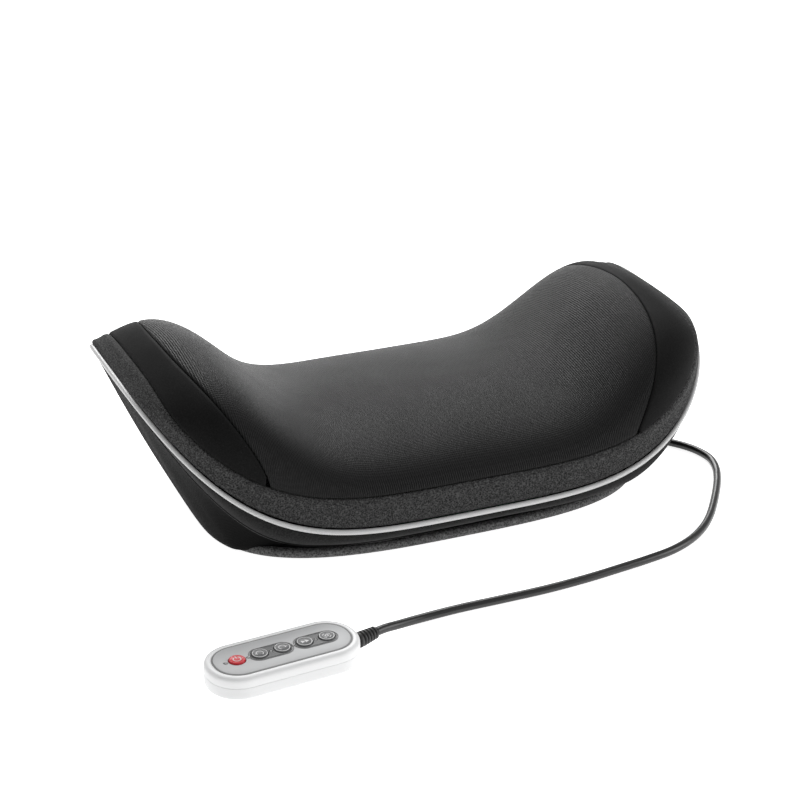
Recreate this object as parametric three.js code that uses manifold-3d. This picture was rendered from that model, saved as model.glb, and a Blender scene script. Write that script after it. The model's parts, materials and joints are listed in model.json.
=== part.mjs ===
// Shiatsu neck massager: a saddle shaped pillow lying on its belt panel, with a corded handset.
// Millimetres. +X runs along the pillow, +Y towards its rear edge, +Z up.
// The origin is on the belt panel's resting face, under the pillow's widest line.
import * as THREE from 'three';
import { mergeVertices } from 'three/addons/utils/BufferGeometryUtils.js';
import Module from 'manifold-3d';

const wasm = await Module();
wasm.setup();

// ---------------------------------------------------------------- driving dimensions

const GAP = 0.3;

// Pillow outline seen from above: a front and a rear superellipse half that share their ends.
const HALF_LENGTH = 200;
const FRONT_DEPTH = 158;
const REAR_DEPTH = 57;
const FRONT_EXPONENT = 3.8;
const REAR_EXPONENT = 6.3;
const SPINE_Y = -53;

// Piped edge: low in the middle, rising to both ends.
const EDGE_LOW = 30;
const EDGE_RISE = 72.5;
const EDGE_POWER = 4.05;
const PIPING_RADIUS = 1.5;
const EDGE_CLEARANCE = PIPING_RADIUS + GAP;

// Padded cover above the edge: a low saddle between two horns.
const SADDLE_CROWN = 45.5;
const HORN_CROWN = 75;
const HORN_X = 180;
const HORN_SHARPNESS = 3.5;
const END_POWER = 3.6;
const END_FALL = 1;
const SECTION_POWER = 1.65;
const SECTION_SQUARENESS = 4;
const COVER_THICKNESS = 5.5;

// Seam between the centre panel and each side panel: half a long, square oval.
const SEAM_X = 166;
const SEAM_Y = -30;
const SEAM_HALF_WIDTH = 128;
const SEAM_SQUARENESS = 7;

// Rear shell under the edge: a flat keel that lifts at both ends.
const KEEL = 12.5;
const KEEL_FLAT_X = 110;
const KEEL_POWER = 2.2;
const BILGE_POWER = 6;
const SHELL_THICKNESS = 2.5;
const INSET_SPAN = 110;

// Belt panel and its straps.
const PANEL_HALF_LENGTH = 150;
const PANEL_HALF_WIDTH = 91;
const PANEL_Y = -45;
const PANEL_EXPONENT = 3.4;
const PANEL_THICKNESS = 9;
const BINDING_WIDTH = 3;
const STRAP_THICKNESS = 2.4;
const STRAP_LOW = { x: 157, z: 4, y: [-38, -8] };
const STRAP_HIGH = { x: 196, z: 88, y: [-14, 38] };

// Kneading drive: one worm between two worm wheels, each turning a two-node head.
const WHEEL_X = 56;
const WHEEL_TEETH = 30;
const WHEEL_PITCH_RADIUS = 49;
const WHEEL_TIP_RADIUS = 51;
const WHEEL_ROOT_RADIUS = 47.6;
const WHEEL_Z = [27, 37];
const WORM_Z = 32;
const WORM_ROOT_RADIUS = 4.2;
const WORM_TIP_RADIUS = 7;
const WORM_HALF_LENGTH = 22;
const WORM_PITCH = (2 * Math.PI * WHEEL_PITCH_RADIUS) / WHEEL_TEETH;
const HEAD_SHAFT_RADIUS = 5;
const GEARBOX_Z = [18, 32, 46];
const GEARBOX_RADIUS = 55.5;
const GEARBOX_WALL = 2.5;
const PLATE_Z = [15.6, 17.7];
const PLATE_SIZE = { length: 184, width: 120, corner: 52 };
const CARRIER_Z = [47, 52];
const DOME_OFFSET = 28;
const MOTOR_RADIUS = 14;
const MOTOR_Y = [3.5, 38];

// Handset, in its own frame: length along x, keys on top.
const HANDSET_PLACE = { x: -165.6, y: -244, yaw: THREE.MathUtils.degToRad(4.7) };
const HANDSET_LENGTH = 94;
const HANDSET_WIDTH = 41;
const HANDSET_CORNER = 19.5;
const HANDSET_SPLIT_Z = 8;
const HANDSET_HEIGHT = 14.5;
const KEY_PITCH = 14.1;
const KEY_RADIUS = 4.9;
const KEY_TOP_Z = 15.7;
const KEY_NAMES = ['power_key', 'mode_key_1', 'mode_key_2', 'mode_key_3', 'mode_key_4'];
const PIP_OFFSET = 7.1;

// Cord from the rear shell's gland to the handset's strain relief.
const CORD_RADIUS = 2.7;
const CORD_SIDES = 8;
const CORD_STEPS = 50;
const GLAND_POINT = { x: 150, y: -42, z: 28.3 };
const GLAND_AXIS = new THREE.Vector3(0.62, -0.22, -0.75).normalize();
const GLAND_LENGTH = 14;
const RELIEF_LENGTH = 14;
const RELIEF_YAW = THREE.MathUtils.degToRad(20);
const RELIEF_Z = 6.6;
const CORD_ROUTE = [
  [159, -45.2, 17.45],
  [162.6, -46.4, 13.1],
  [168, -48.8, 8.4],
  [175, -53, 4.8],
  [184, -60, 3.1],
  [192, -68.5, 2.8],
  [199, -79, 2.8],
  [203, -90, 2.8],
  [204, -102, 2.8],
  [200, -116, 2.8],
  [192, -131, 2.8],
  [182, -146, 2.8],
  [171, -161, 2.8],
  [159, -176, 2.8],
  [146, -189, 2.8],
  [130, -200.5, 2.8],
  [112, -208.5, 2.8],
  [92, -213, 2.8],
  [70, -216.5, 2.8],
  [45, -220, 2.8],
  [15, -222.5, 2.8],
  [-15, -223, 2.8],
  [-45, -223.2, 2.8],
  [-70, -225.3, 3.1],
  [-88, -229.4, 4.6],
  [-97, -232.4, 6],
  [-103.9, -235, 6.6],
];

// ---------------------------------------------------------------- materials

const finishes = {
  mesh_fabric: [0x2b2c2f, 0.75, 0],
  plain_fabric: [0x232427, 0.85, 0],
  band_fabric: [0x1f2022, 0.95, 0],
  silver_piping: [0xa9abad, 0.35, 0.3],
  panel_fabric: [0x242527, 0.8, 0],
  strap_webbing: [0x1a1a1c, 0.9, 0],
  foam: [0x8d8d90, 1, 0],
  black_plastic: [0x17181a, 0.55, 0],
  grey_plastic: [0x6a6d70, 0.5, 0],
  nylon: [0xe4e0d2, 0.45, 0],
  steel: [0xb9bcc0, 0.3, 0.9],
  bronze: [0xb08a4c, 0.35, 0.9],
  node_rubber: [0x3a3a3e, 0.7, 0],
  heat_lens: [0x9a1f16, 0.2, 0],
  circuit_board: [0x1e5b3a, 0.5, 0],
  handset_white: [0xd9dadc, 0.35, 0],
  face_grey: [0x9fa2a6, 0.4, 0],
  power_red: [0xd22a2e, 0.4, 0],
  key_grey: [0x6d7074, 0.45, 0],
  light_guide: [0xe6e6e0, 0.2, 0],
  cord_black: [0x0d0d0e, 0.4, 0],
};

const massager = new THREE.Group();

function place(name, finish, geometry, parent = massager) {
  const [color, roughness, metalness] = finishes[finish];
  const material = new THREE.MeshStandardMaterial({ color, roughness, metalness });
  const mesh = new THREE.Mesh(closed(geometry), material);
  mesh.name = name;
  parent.add(mesh);
  return mesh;
}

// ---------------------------------------------------------------- solid helpers

// Merges shared vertices, drops empty triangles and turns the faces outwards.
function closed(geometry) {
  const bare = geometry.index ? geometry.toNonIndexed() : geometry.clone();
  bare.deleteAttribute('normal');
  bare.deleteAttribute('uv');
  const merged = mergeVertices(bare, 1e-4);
  const at = (i) => new THREE.Vector3().fromBufferAttribute(merged.attributes.position, i);
  const source = merged.index.array;
  const kept = [];
  let volume = 0;
  for (let i = 0; i < source.length; i += 3) {
    const [a, b, c] = [source[i], source[i + 1], source[i + 2]];
    if (a !== b && b !== c && a !== c) {
      kept.push(a, b, c);
      volume += at(a).dot(at(b).cross(at(c)));
    }
  }
  if (volume < 0) {
    kept.reverse();
  }
  merged.setIndex(kept);
  merged.computeVertexNormals();
  return merged;
}

function toManifold(geometry) {
  const solid = closed(geometry);
  return new wasm.Manifold(new wasm.Mesh({
    numProp: 3,
    vertProperties: new Float32Array(solid.attributes.position.array),
    triVerts: new Uint32Array(solid.index.array),
  }));
}

function toGeometry(manifold) {
  const mesh = manifold.getMesh();
  const geometry = new THREE.BufferGeometry();
  geometry.setAttribute('position', new THREE.BufferAttribute(mesh.vertProperties, 3));
  geometry.setIndex([...mesh.triVerts]);
  return geometry;
}

// Joins the first list of geometries and cuts the second list out of them.
function carve(added, cut) {
  let solid = toManifold(added[0]);
  for (const piece of added.slice(1)) {
    solid = solid.add(toManifold(piece));
  }
  for (const piece of cut) {
    solid = solid.subtract(toManifold(piece));
  }
  return toGeometry(solid);
}

// A block between two corners.
function block([x0, x1], [y0, y1], [z0, z1]) {
  const geometry = new THREE.BoxGeometry(x1 - x0, y1 - y0, z1 - z0);
  return geometry.translate((x0 + x1) / 2, (y0 + y1) / 2, (z0 + z1) / 2);
}

// A turned piece about +Z from [radius, z] pairs that start and end on the axis or form a loop.
function turned(profile, segments = 16) {
  const points = profile.map(([r, z]) => new THREE.Vector2(r, z));
  return new THREE.LatheGeometry(points, segments).rotateX(Math.PI / 2);
}

function rod(radius, z0, z1, segments = 16) {
  return turned([[0, z0], [radius, z0], [radius, z1], [0, z1]], segments);
}

function ringPiece(inner, outer, z0, z1, segments = 16) {
  return turned([[inner, z0], [outer, z0], [outer, z1], [inner, z1], [inner, z0]], segments);
}

// Turns a piece made about +Z so that it lies along +Y, its z running as y.
function alongY(geometry) {
  return geometry.rotateX(-Math.PI / 2);
}

// Moves a piece made about +Z onto a new axis.
function aim(geometry, origin, axis) {
  const turn = new THREE.Quaternion().setFromUnitVectors(new THREE.Vector3(0, 0, 1), axis);
  return geometry.applyQuaternion(turn).translate(origin.x, origin.y, origin.z);
}

// A flat shape raised from z0 to z1.
function raised(shape, z0, z1, curveSegments = 5) {
  const options = { depth: z1 - z0, bevelEnabled: false, curveSegments };
  return new THREE.ExtrudeGeometry(shape, options).translate(0, 0, z0);
}

function roundedRectangle(length, width, corner) {
  const shape = new THREE.Shape();
  const [x, y] = [length / 2 - corner, width / 2 - corner];
  shape.absarc(x, y, corner, 0, Math.PI / 2);
  shape.absarc(-x, y, corner, Math.PI / 2, Math.PI);
  shape.absarc(-x, -y, corner, Math.PI, Math.PI * 1.5);
  shape.absarc(x, -y, corner, Math.PI * 1.5, Math.PI * 2);
  shape.closePath();
  return shape;
}

// A skin over a list of closed rings: joined end to start, or capped at both ends.
function loft(rings, endless) {
  const size = rings[0].length;
  const positions = rings.flat().flatMap((p) => [p.x, p.y, p.z]);
  const index = [];
  const spans = endless ? rings.length : rings.length - 1;
  for (let i = 0; i < spans; i += 1) {
    const next = (i + 1) % rings.length;
    for (let j = 0; j < size; j += 1) {
      const k = (j + 1) % size;
      const [a, b, c, d] = [i * size + j, i * size + k, next * size + k, next * size + j];
      index.push(a, b, c, a, c, d);
    }
  }
  if (!endless) {
    for (const [ring, forward] of [[0, false], [rings.length - 1, true]]) {
      const middle = rings[ring].reduce((sum, p) => sum.add(p), new THREE.Vector3());
      middle.divideScalar(size);
      const hub = positions.length / 3;
      positions.push(middle.x, middle.y, middle.z);
      for (let j = 0; j < size; j += 1) {
        const [a, b] = [ring * size + j, ring * size + ((j + 1) % size)];
        index.push(...(forward ? [a, b, hub] : [b, a, hub]));
      }
    }
  }
  const geometry = new THREE.BufferGeometry();
  geometry.setAttribute('position', new THREE.Float32BufferAttribute(positions, 3));
  geometry.setIndex(index);
  return geometry;
}

// ---------------------------------------------------------------- pillow form

const AROUND = 40;

const signedPower = (value, exponent) => Math.sign(value) * Math.abs(value) ** exponent;

// Points at equal steps of length around the pillow's outline, anticlockwise from its +X end.
function evenOutline(count) {
  const fine = 4000;
  const points = [];
  const lengths = [0];
  for (let i = 0; i <= fine; i += 1) {
    const angle = (2 * Math.PI * i) / fine;
    const [c, s] = [Math.cos(angle), Math.sin(angle)];
    const exponent = 2 / (s > 0 ? REAR_EXPONENT : FRONT_EXPONENT);
    const depth = s > 0 ? REAR_DEPTH : FRONT_DEPTH;
    const x = HALF_LENGTH * signedPower(c, exponent);
    points.push(new THREE.Vector2(x, depth * signedPower(s, exponent)));
    if (i > 0) {
      lengths.push(lengths[i - 1] + points[i].distanceTo(points[i - 1]));
    }
  }
  const even = [];
  let i = 0;
  for (let step = 0; step < count; step += 1) {
    const target = (lengths[fine] * step) / count;
    while (lengths[i + 1] < target) {
      i += 1;
    }
    const share = (target - lengths[i]) / (lengths[i + 1] - lengths[i]);
    even.push(points[i].clone().lerp(points[i + 1], share));
  }
  return even;
}

const outline = evenOutline(AROUND);

const edgeHeight = (x) => EDGE_LOW + EDGE_RISE * Math.abs(x / HALF_LENGTH) ** EDGE_POWER;

function keelHeight(x) {
  const lift = Math.max(0, (Math.abs(x) - KEEL_FLAT_X) / (HALF_LENGTH - KEEL_FLAT_X));
  return KEEL + (EDGE_LOW + EDGE_RISE - KEEL) * lift ** KEEL_POWER;
}

// The front and rear edge of the pillow at one x.
function edgesAt(x) {
  const e = Math.min(1, Math.abs(x) / HALF_LENGTH);
  const front = -FRONT_DEPTH * (1 - e ** FRONT_EXPONENT) ** (1 / FRONT_EXPONENT);
  const rear = REAR_DEPTH * (1 - e ** REAR_EXPONENT) ** (1 / REAR_EXPONENT);
  return { middle: (front + rear) / 2, half: (rear - front) / 2 };
}

// Height of the cover above the piped edge.
function crownHeight(x, y) {
  const e = Math.min(1, Math.abs(x) / HALF_LENGTH);
  const { middle, half } = edgesAt(x);
  const across = half > 0 ? Math.min(1, Math.abs(y - middle) / half) : 1;
  const rise = 0.5 - 0.5 * Math.cos(Math.PI * Math.min(1, Math.abs(x) / HORN_X));
  const height = SADDLE_CROWN + HORN_CROWN * rise ** HORN_SHARPNESS;
  const ridge = height * (1 - e ** END_POWER) ** END_FALL;
  return ridge * (1 - across ** SECTION_POWER) ** (1 / SECTION_SQUARENESS);
}

// A plan point at a share t of the way from the middle of the pillow to its outline.
const planPoint = (edge, t) => new THREE.Vector2(edge.x * t, SPINE_Y + (edge.y - SPINE_Y) * t);

// The same plan point moved inwards by a wall thickness.
function inset(point, thickness) {
  const shrink = 1 - thickness / INSET_SPAN;
  return new THREE.Vector2(point.x * shrink, SPINE_Y + (point.y - SPINE_Y) * shrink);
}

// A point of the cover; thickness 0 gives the outside.
function coverPoint(edge, t, thickness) {
  const plan = planPoint(edge, t);
  const top = edgeHeight(plan.x) + EDGE_CLEARANCE + crownHeight(plan.x, plan.y);
  const moved = inset(plan, thickness);
  return new THREE.Vector3(moved.x, moved.y, top - thickness * (1 - t ** 4));
}

// A point of the rear shell; thickness 0 gives the outside.
function shellPoint(edge, t, thickness) {
  const plan = planPoint(edge, t);
  const bilge = Math.sqrt(Math.max(0, 1 - t ** BILGE_POWER));
  const rim = edgeHeight(plan.x);
  const low = rim - EDGE_CLEARANCE - (rim - keelHeight(plan.x)) * bilge;
  const moved = inset(plan, thickness);
  return new THREE.Vector3(moved.x, moved.y, low + thickness * bilge);
}

// ---------------------------------------------------------------- cover panels

const SEAM_GAP = 0.012;

// Where the border band starts, as a share of the way to the outline.
const bandStart = (edge) => 0.972 - 0.027 * Math.abs(edge.x / HALF_LENGTH) ** 3;

// The seam between the centre panel and a side panel, as a distance from the middle.
function seamDistance(y) {
  const along = Math.min(1, Math.abs((y - SEAM_Y) / SEAM_HALF_WIDTH));
  return SEAM_X * (1 - along ** 2) ** (1 / SEAM_SQUARENESS);
}

// How far the centre panel reaches towards one outline point.
function centreReach(edge) {
  let low = 0;
  let high = bandStart(edge);
  for (let i = 0; i < 30; i += 1) {
    const t = (low + high) / 2;
    const plan = planPoint(edge, t);
    if (Math.abs(plan.x) < seamDistance(plan.y)) {
      low = t;
    } else {
      high = t;
    }
  }
  return high;
}

function meshPanel() {
  const shares = [0.1, 0.35, 0.6, 0.82, 1];
  const ring = (share, thickness) =>
    outline.map((edge) => coverPoint(edge, share * (centreReach(edge) - SEAM_GAP), thickness));
  const outside = shares.map((share) => ring(share, 0));
  const inside = shares.map((share) => ring(share, COVER_THICKNESS)).reverse();
  return loft([...outside, ...inside], false);
}

// A closed strip of the cover between two shares of the way out.
function coverStrip(edge, from, to, steps) {
  const shares = Array.from({ length: steps + 1 }, (_, i) => from + ((to - from) * i) / steps);
  const outside = shares.map((t) => coverPoint(edge, t, 0));
  const inside = shares.map((t) => coverPoint(edge, t, COVER_THICKNESS)).reverse();
  return [...outside, ...inside];
}

function sidePanel(side) {
  const wide = (edge) => bandStart(edge) - centreReach(edge) > 0.03 && edge.x * side > 0;
  const strip = (edge) =>
    coverStrip(edge, centreReach(edge) + SEAM_GAP, bandStart(edge) - SEAM_GAP, 3);
  const turn = side > 0 ? AROUND / 2 : 0;
  const ordered = [...outline.slice(turn), ...outline.slice(0, turn)];
  return loft(ordered.filter(wide).map(strip), false);
}

function borderBand() {
  return loft(outline.map((edge) => coverStrip(edge, bandStart(edge) + SEAM_GAP, 1, 3)), true);
}

function edgePiping() {
  const sides = 6;
  const ring = (edge) => {
    const outwards = edge.clone().sub(new THREE.Vector2(0, SPINE_Y)).normalize();
    return Array.from({ length: sides }, (_, i) => {
      const angle = (2 * Math.PI * i) / sides;
      const reach = PIPING_RADIUS * Math.cos(angle);
      const up = PIPING_RADIUS * Math.sin(angle);
      const [x, y] = [edge.x + outwards.x * reach, edge.y + outwards.y * reach];
      return new THREE.Vector3(x, y, edgeHeight(edge.x) + up);
    });
  };
  return loft(outline.map(ring), true);
}

// A foam block that fills one horn.
function foamBolster(side) {
  const stations = [118, 132, 146, 158, 168];
  const shares = [-0.68, -0.5, -0.2, 0.2, 0.5, 0.68];
  const rings = stations.map((x) => {
    const { middle, half } = edgesAt(x);
    const floor = edgeHeight(x) + 3;
    const top = shares.map((share) => {
      const y = middle + half * share;
      return new THREE.Vector3(side * x, y, edgeHeight(x) + crownHeight(x, y) - 10);
    });
    const bottom = shares.map((share) => new THREE.Vector3(side * x, middle + half * share, floor));
    return [...top, ...bottom.reverse()];
  });
  return loft(rings, false);
}

// ---------------------------------------------------------------- rear shell and belt

const JACK_X = 88;
const JACK_Z = 23;

const glandPoint = new THREE.Vector3(GLAND_POINT.x, GLAND_POINT.y, GLAND_POINT.z);

function rearShell() {
  const shares = [0.1, 0.5, 0.72, 0.87, 0.96, 1];
  const ring = (share, thickness) => outline.map((edge) => shellPoint(edge, share, thickness));
  const outside = shares.map((share) => ring(share, 0));
  const inside = shares.map((share) => ring(share, SHELL_THICKNESS)).reverse();
  const jackHole = alongY(rod(4.4, 40, 62, 12)).translate(JACK_X, 0, JACK_Z);
  const glandHole = aim(rod(5.3, -12, 12, 12), glandPoint, GLAND_AXIS);
  return carve([loft([...outside, ...inside], false)], [jackHole, glandHole]);
}

// The belt panel's outline, grown by a margin.
function panelShape(margin) {
  const shape = new THREE.Shape();
  const steps = 40;
  for (let i = 0; i < steps; i += 1) {
    const angle = (2 * Math.PI * i) / steps;
    const x = (PANEL_HALF_LENGTH + margin) * signedPower(Math.cos(angle), 2 / PANEL_EXPONENT);
    const y = (PANEL_HALF_WIDTH + margin) * signedPower(Math.sin(angle), 2 / PANEL_EXPONENT);
    shape[i ? 'lineTo' : 'moveTo'](x, PANEL_Y + y);
  }
  shape.closePath();
  return shape;
}

function panelBinding() {
  const shape = panelShape(GAP + BINDING_WIDTH);
  shape.holes.push(new THREE.Path(panelShape(GAP).getPoints()));
  return raised(shape, 1, PANEL_THICKNESS - 1);
}

// A strap that climbs from the belt panel's end, outwards and back, to the pillow's raised end.
function strap(side) {
  const steps = 6;
  const half = STRAP_THICKNESS / 2;
  const rings = Array.from({ length: steps + 1 }, (_, i) => {
    const share = i / steps;
    const between = (from, to) => from + (to - from) * share;
    const x = between(STRAP_LOW.x, STRAP_HIGH.x);
    const z = between(STRAP_LOW.z, STRAP_HIGH.z);
    const [near, far] = [0, 1].map((edge) => between(STRAP_LOW.y[edge], STRAP_HIGH.y[edge]));
    return [[half, near], [half, far], [-half, far], [-half, near]].map(
      ([out, y]) => new THREE.Vector3(side * (x + out), y, z),
    );
  });
  return loft(rings, false);
}

// ---------------------------------------------------------------- kneading drive

// Two discs of one radius joined by their tangents, centred on the two head axes.
function twinShape(radius) {
  const shape = new THREE.Shape();
  shape.absarc(WHEEL_X, SPINE_Y, radius, -Math.PI / 2, Math.PI / 2);
  shape.absarc(-WHEEL_X, SPINE_Y, radius, Math.PI / 2, Math.PI * 1.5);
  shape.closePath();
  return shape;
}

const CASE_SCREW_Y = [SPINE_Y - 58.5, SPINE_Y + 58.5];
const caseScrewPlaces = CASE_SCREW_Y.flatMap((y) => [[-WHEEL_X, y], [WHEEL_X, y]]);
const PLATE_SCREW_Y = [SPINE_Y - 66, SPINE_Y + 66];
const plateScrewPlaces = PLATE_SCREW_Y.flatMap((y) => [[-30, y], [30, y]]);

function chassisPlate() {
  const ears = plateScrewPlaces.map(([x, y]) => rod(7, ...PLATE_Z).translate(x, y, 0));
  const holes = plateScrewPlaces.map(([x, y]) => rod(1.9, 10, 20, 10).translate(x, y, 0));
  const cradle = block([-15, 15], [0, 22], PLATE_Z);
  const oval = roundedRectangle(PLATE_SIZE.length, PLATE_SIZE.width, PLATE_SIZE.corner);
  const body = raised(oval, ...PLATE_Z).translate(0, SPINE_Y, 0);
  return carve([body, cradle, ...ears], holes);
}

function caseCuts() {
  const screws = caseScrewPlaces.map(([x, y]) => rod(1.7, 10, 60, 10).translate(x, y, 0));
  const bushes = [-WHEEL_X, WHEEL_X].map((x) => rod(8.3, 10, 60, 20).translate(x, SPINE_Y, 0));
  const shaftExit = alongY(rod(3.4, -4, 6, 12)).translate(0, 0, WORM_Z);
  return [...screws, ...bushes, shaftExit];
}

function gearboxLower() {
  const [floor, split] = GEARBOX_Z;
  const inner = floor + GEARBOX_WALL;
  const outer = raised(twinShape(GEARBOX_RADIUS), floor, split, 9);
  const hollow = raised(twinShape(GEARBOX_RADIUS - GEARBOX_WALL), inner, split + 1, 9);
  const tub = carve([outer], [hollow]);
  const ears = caseScrewPlaces.map(([x, y]) => rod(4.5, floor, split, 12).translate(x, y, 0));
  const bosses = [-WHEEL_X, WHEEL_X].map((x) =>
    ringPiece(7, 11, floor, inner + 4.5).translate(x, SPINE_Y, 0));
  const rest = block([-9, 9], [SPINE_Y - 54, SPINE_Y - 45.5], [inner - 1, split]);
  const bushSeat = alongY(rod(5.8, SPINE_Y - 53, SPINE_Y - 40, 16)).translate(0, 0, WORM_Z);
  const body = carve([tub, ...ears], [hollow]);
  return carve([body, ...bosses, rest], [...caseCuts(), bushSeat]);
}

function gearboxUpper() {
  const [, split, top] = GEARBOX_Z;
  const base = split + GAP;
  const ceiling = top - GEARBOX_WALL;
  const outer = raised(twinShape(GEARBOX_RADIUS), base, top, 9);
  const hollow = raised(twinShape(GEARBOX_RADIUS - GEARBOX_WALL), base - 1, ceiling, 9);
  const ears = caseScrewPlaces.map(([x, y]) => rod(4.5, base, top, 12).translate(x, y, 0));
  const bosses = [-WHEEL_X, WHEEL_X].map((x) =>
    ringPiece(7, 11, ceiling - 4, top).translate(x, SPINE_Y, 0));
  const body = carve([outer, ...ears], [hollow]);
  return carve([body, ...bosses], caseCuts());
}

// A worm wheel with straight flanked teeth; phase is the angle of a tooth gap.
function wormWheel(phase) {
  const shape = new THREE.Shape();
  const pitch = (2 * Math.PI) / WHEEL_TEETH;
  const [root, tip] = [WHEEL_ROOT_RADIUS, WHEEL_TIP_RADIUS];
  const corners = [[-0.23, root], [-0.13, tip], [0.13, tip], [0.23, root]];
  for (let tooth = 0; tooth < WHEEL_TEETH; tooth += 1) {
    for (const [share, radius] of corners) {
      const angle = phase + pitch * (tooth + 0.5 + share);
      const isFirst = tooth === 0 && share === corners[0][0];
      shape[isFirst ? 'moveTo' : 'lineTo'](radius * Math.cos(angle), radius * Math.sin(angle));
    }
  }
  shape.closePath();
  const bore = new THREE.Path();
  bore.absarc(0, 0, HEAD_SHAFT_RADIUS + GAP, 0, Math.PI * 2, true);
  shape.holes.push(bore);
  return raised(shape, WHEEL_Z[0], WHEEL_Z[1], 8);
}

// The motor's shaft with its rotor core and a right-hand worm, made about +Z.
function wormShaft() {
  const sides = 10;
  const ring = (z, radiusAt) => Array.from({ length: sides }, (_, i) => {
    const angle = (2 * Math.PI * i) / sides;
    const radius = radiusAt(angle);
    return new THREE.Vector3(radius * Math.cos(angle), radius * Math.sin(angle), z);
  });
  const plain = (z, radius) => ring(z, () => radius);
  const thread = (z) => (angle) => {
    const turns = (z - SPINE_Y) / WORM_PITCH - (Math.PI / 2 - angle) / (2 * Math.PI);
    const off = Math.abs(turns - Math.round(turns));
    const height = THREE.MathUtils.clamp((0.2 - off) / 0.1, 0, 1);
    return WORM_ROOT_RADIUS + (WORM_TIP_RADIUS - WORM_ROOT_RADIUS) * height;
  };
  const steps = 26;
  const worm = Array.from({ length: steps + 1 }, (_, i) => {
    const z = SPINE_Y - WORM_HALF_LENGTH + (2 * WORM_HALF_LENGTH * i) / steps;
    return ring(z, thread(z));
  });
  const before = SPINE_Y - WORM_HALF_LENGTH - 2;
  const after = SPINE_Y + WORM_HALF_LENGTH + 2;
  return loft([
    plain(-104, 2.5), plain(before, 2.5), plain(before, WORM_ROOT_RADIUS), ...worm,
    plain(after, WORM_ROOT_RADIUS), plain(after, 2.5), plain(9, 2.5), plain(9, 10.5),
    plain(33, 10.5), plain(33, 2.5), plain(41, 2.5),
  ], false);
}

function motorCan() {
  const [front, back] = MOTOR_Y;
  const profile = [[3.2, front], [MOTOR_RADIUS, front], [MOTOR_RADIUS, back], [12.8, back]];
  profile.push([12.8, front + 1.5], [3.2, front + 1.5], [3.2, front]);
  return alongY(turned(profile, 20)).translate(0, 0, WORM_Z);
}

// A two-armed plate that carries the kneading nodes, made about its own axis.
function headCarrier() {
  const shape = roundedRectangle(2 * DOME_OFFSET + 26, 26, 12.9);
  const bore = new THREE.Path();
  bore.absarc(0, 0, HEAD_SHAFT_RADIUS + GAP, 0, Math.PI * 2, true);
  shape.holes.push(bore);
  return raised(shape, CARRIER_Z[0], CARRIER_Z[1], 6);
}

// A rubber kneading node: a short wall under a flattened dome.
function kneadingNode(radius, height) {
  const base = CARRIER_Z[1] + GAP;
  const profile = [[0, base], [radius * 0.82, base], [radius, base + height * 0.22]];
  for (let i = 1; i < 5; i += 1) {
    const angle = (Math.PI / 2) * (i / 5);
    profile.push([radius * Math.cos(angle), base + height * (0.3 + 0.7 * Math.sin(angle))]);
  }
  profile.push([0, base + height]);
  return turned(profile, 14);
}

// A lens over the shaft's end that lets the warming light through.
function heatLens() {
  const base = CARRIER_Z[1] + GAP;
  const profile = [[6, base], [8, base], [7.4, base + 4], [4, base + 6.4], [0, base + 7]];
  profile.push([0, base + 5], [4, base + 4.4], [6, base + 2.5], [6, base]);
  return turned(profile, 10);
}

function screw(shankRadius, headRadius, low, seat, headHeight) {
  const top = seat + headHeight;
  const profile = [[0, low], [shankRadius, low], [shankRadius, seat], [headRadius, seat]];
  profile.push([headRadius, seat + headHeight * 0.6], [headRadius * 0.7, top], [0, top]);
  return turned(profile, 8);
}

function addDrive() {
  place('chassis_plate', 'grey_plastic', chassisPlate());
  place('gearbox_lower', 'black_plastic', gearboxLower());
  place('gearbox_upper', 'black_plastic', gearboxUpper());
  place('motor_can', 'steel', motorCan());
  const cap = ringPiece(2.9, 12.4, MOTOR_Y[1] + GAP, MOTOR_Y[1] + 4);
  place('motor_end_cap', 'black_plastic', alongY(cap).translate(0, 0, WORM_Z));
  place('worm_shaft', 'steel', alongY(wormShaft()).translate(0, 0, WORM_Z));
  const farBush = ringPiece(2.7, 5.4, SPINE_Y - 52.4, SPINE_Y - 46, 16);
  place('worm_bush', 'bronze', alongY(farBush).translate(0, 0, WORM_Z));
  const quarterGap = Math.PI / (2 * WHEEL_TEETH);
  for (const [name, side] of [['left', -1], ['right', 1]]) {
    const head = new THREE.Group();
    head.position.set(side * WHEEL_X, SPINE_Y, 0);
    massager.add(head);
    const phase = side > 0 ? Math.PI - quarterGap : -quarterGap;
    place(`worm_wheel_${name}`, 'nylon', wormWheel(phase), head);
    place(`head_shaft_${name}`, 'steel', rod(HEAD_SHAFT_RADIUS, 18.6, 53.5, 16), head);
    place(`head_bush_${name}_lower`, 'bronze', ringPiece(5.35, 7.9, 18.4, 25.2, 16), head);
    place(`head_bush_${name}_upper`, 'bronze', ringPiece(5.35, 7.9, 39.7, 46, 16), head);
    place(`head_carrier_${name}`, 'grey_plastic', headCarrier(), head);
    const large = kneadingNode(18, 16.5).translate(side * DOME_OFFSET, 0, 0);
    const small = kneadingNode(15.5, 14.5).translate(-side * DOME_OFFSET, 0, 0);
    place(`node_large_${name}`, 'node_rubber', large, head);
    place(`node_small_${name}`, 'node_rubber', small, head);
    place(`heat_lens_${name}`, 'heat_lens', heatLens(), head);
  }
  caseScrewPlaces.forEach(([x, y], i) => {
    place(`gearbox_screw_${i + 1}`, 'steel', screw(1.4, 3, 24, 46.3, 2).translate(x, y, 0));
  });
  plateScrewPlaces.forEach(([x, y], i) => {
    place(`chassis_screw_${i + 1}`, 'steel', screw(1.5, 3.4, 15, 18, 2).translate(x, y, 0));
  });
}

// ---------------------------------------------------------------- electrics in the pillow

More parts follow.
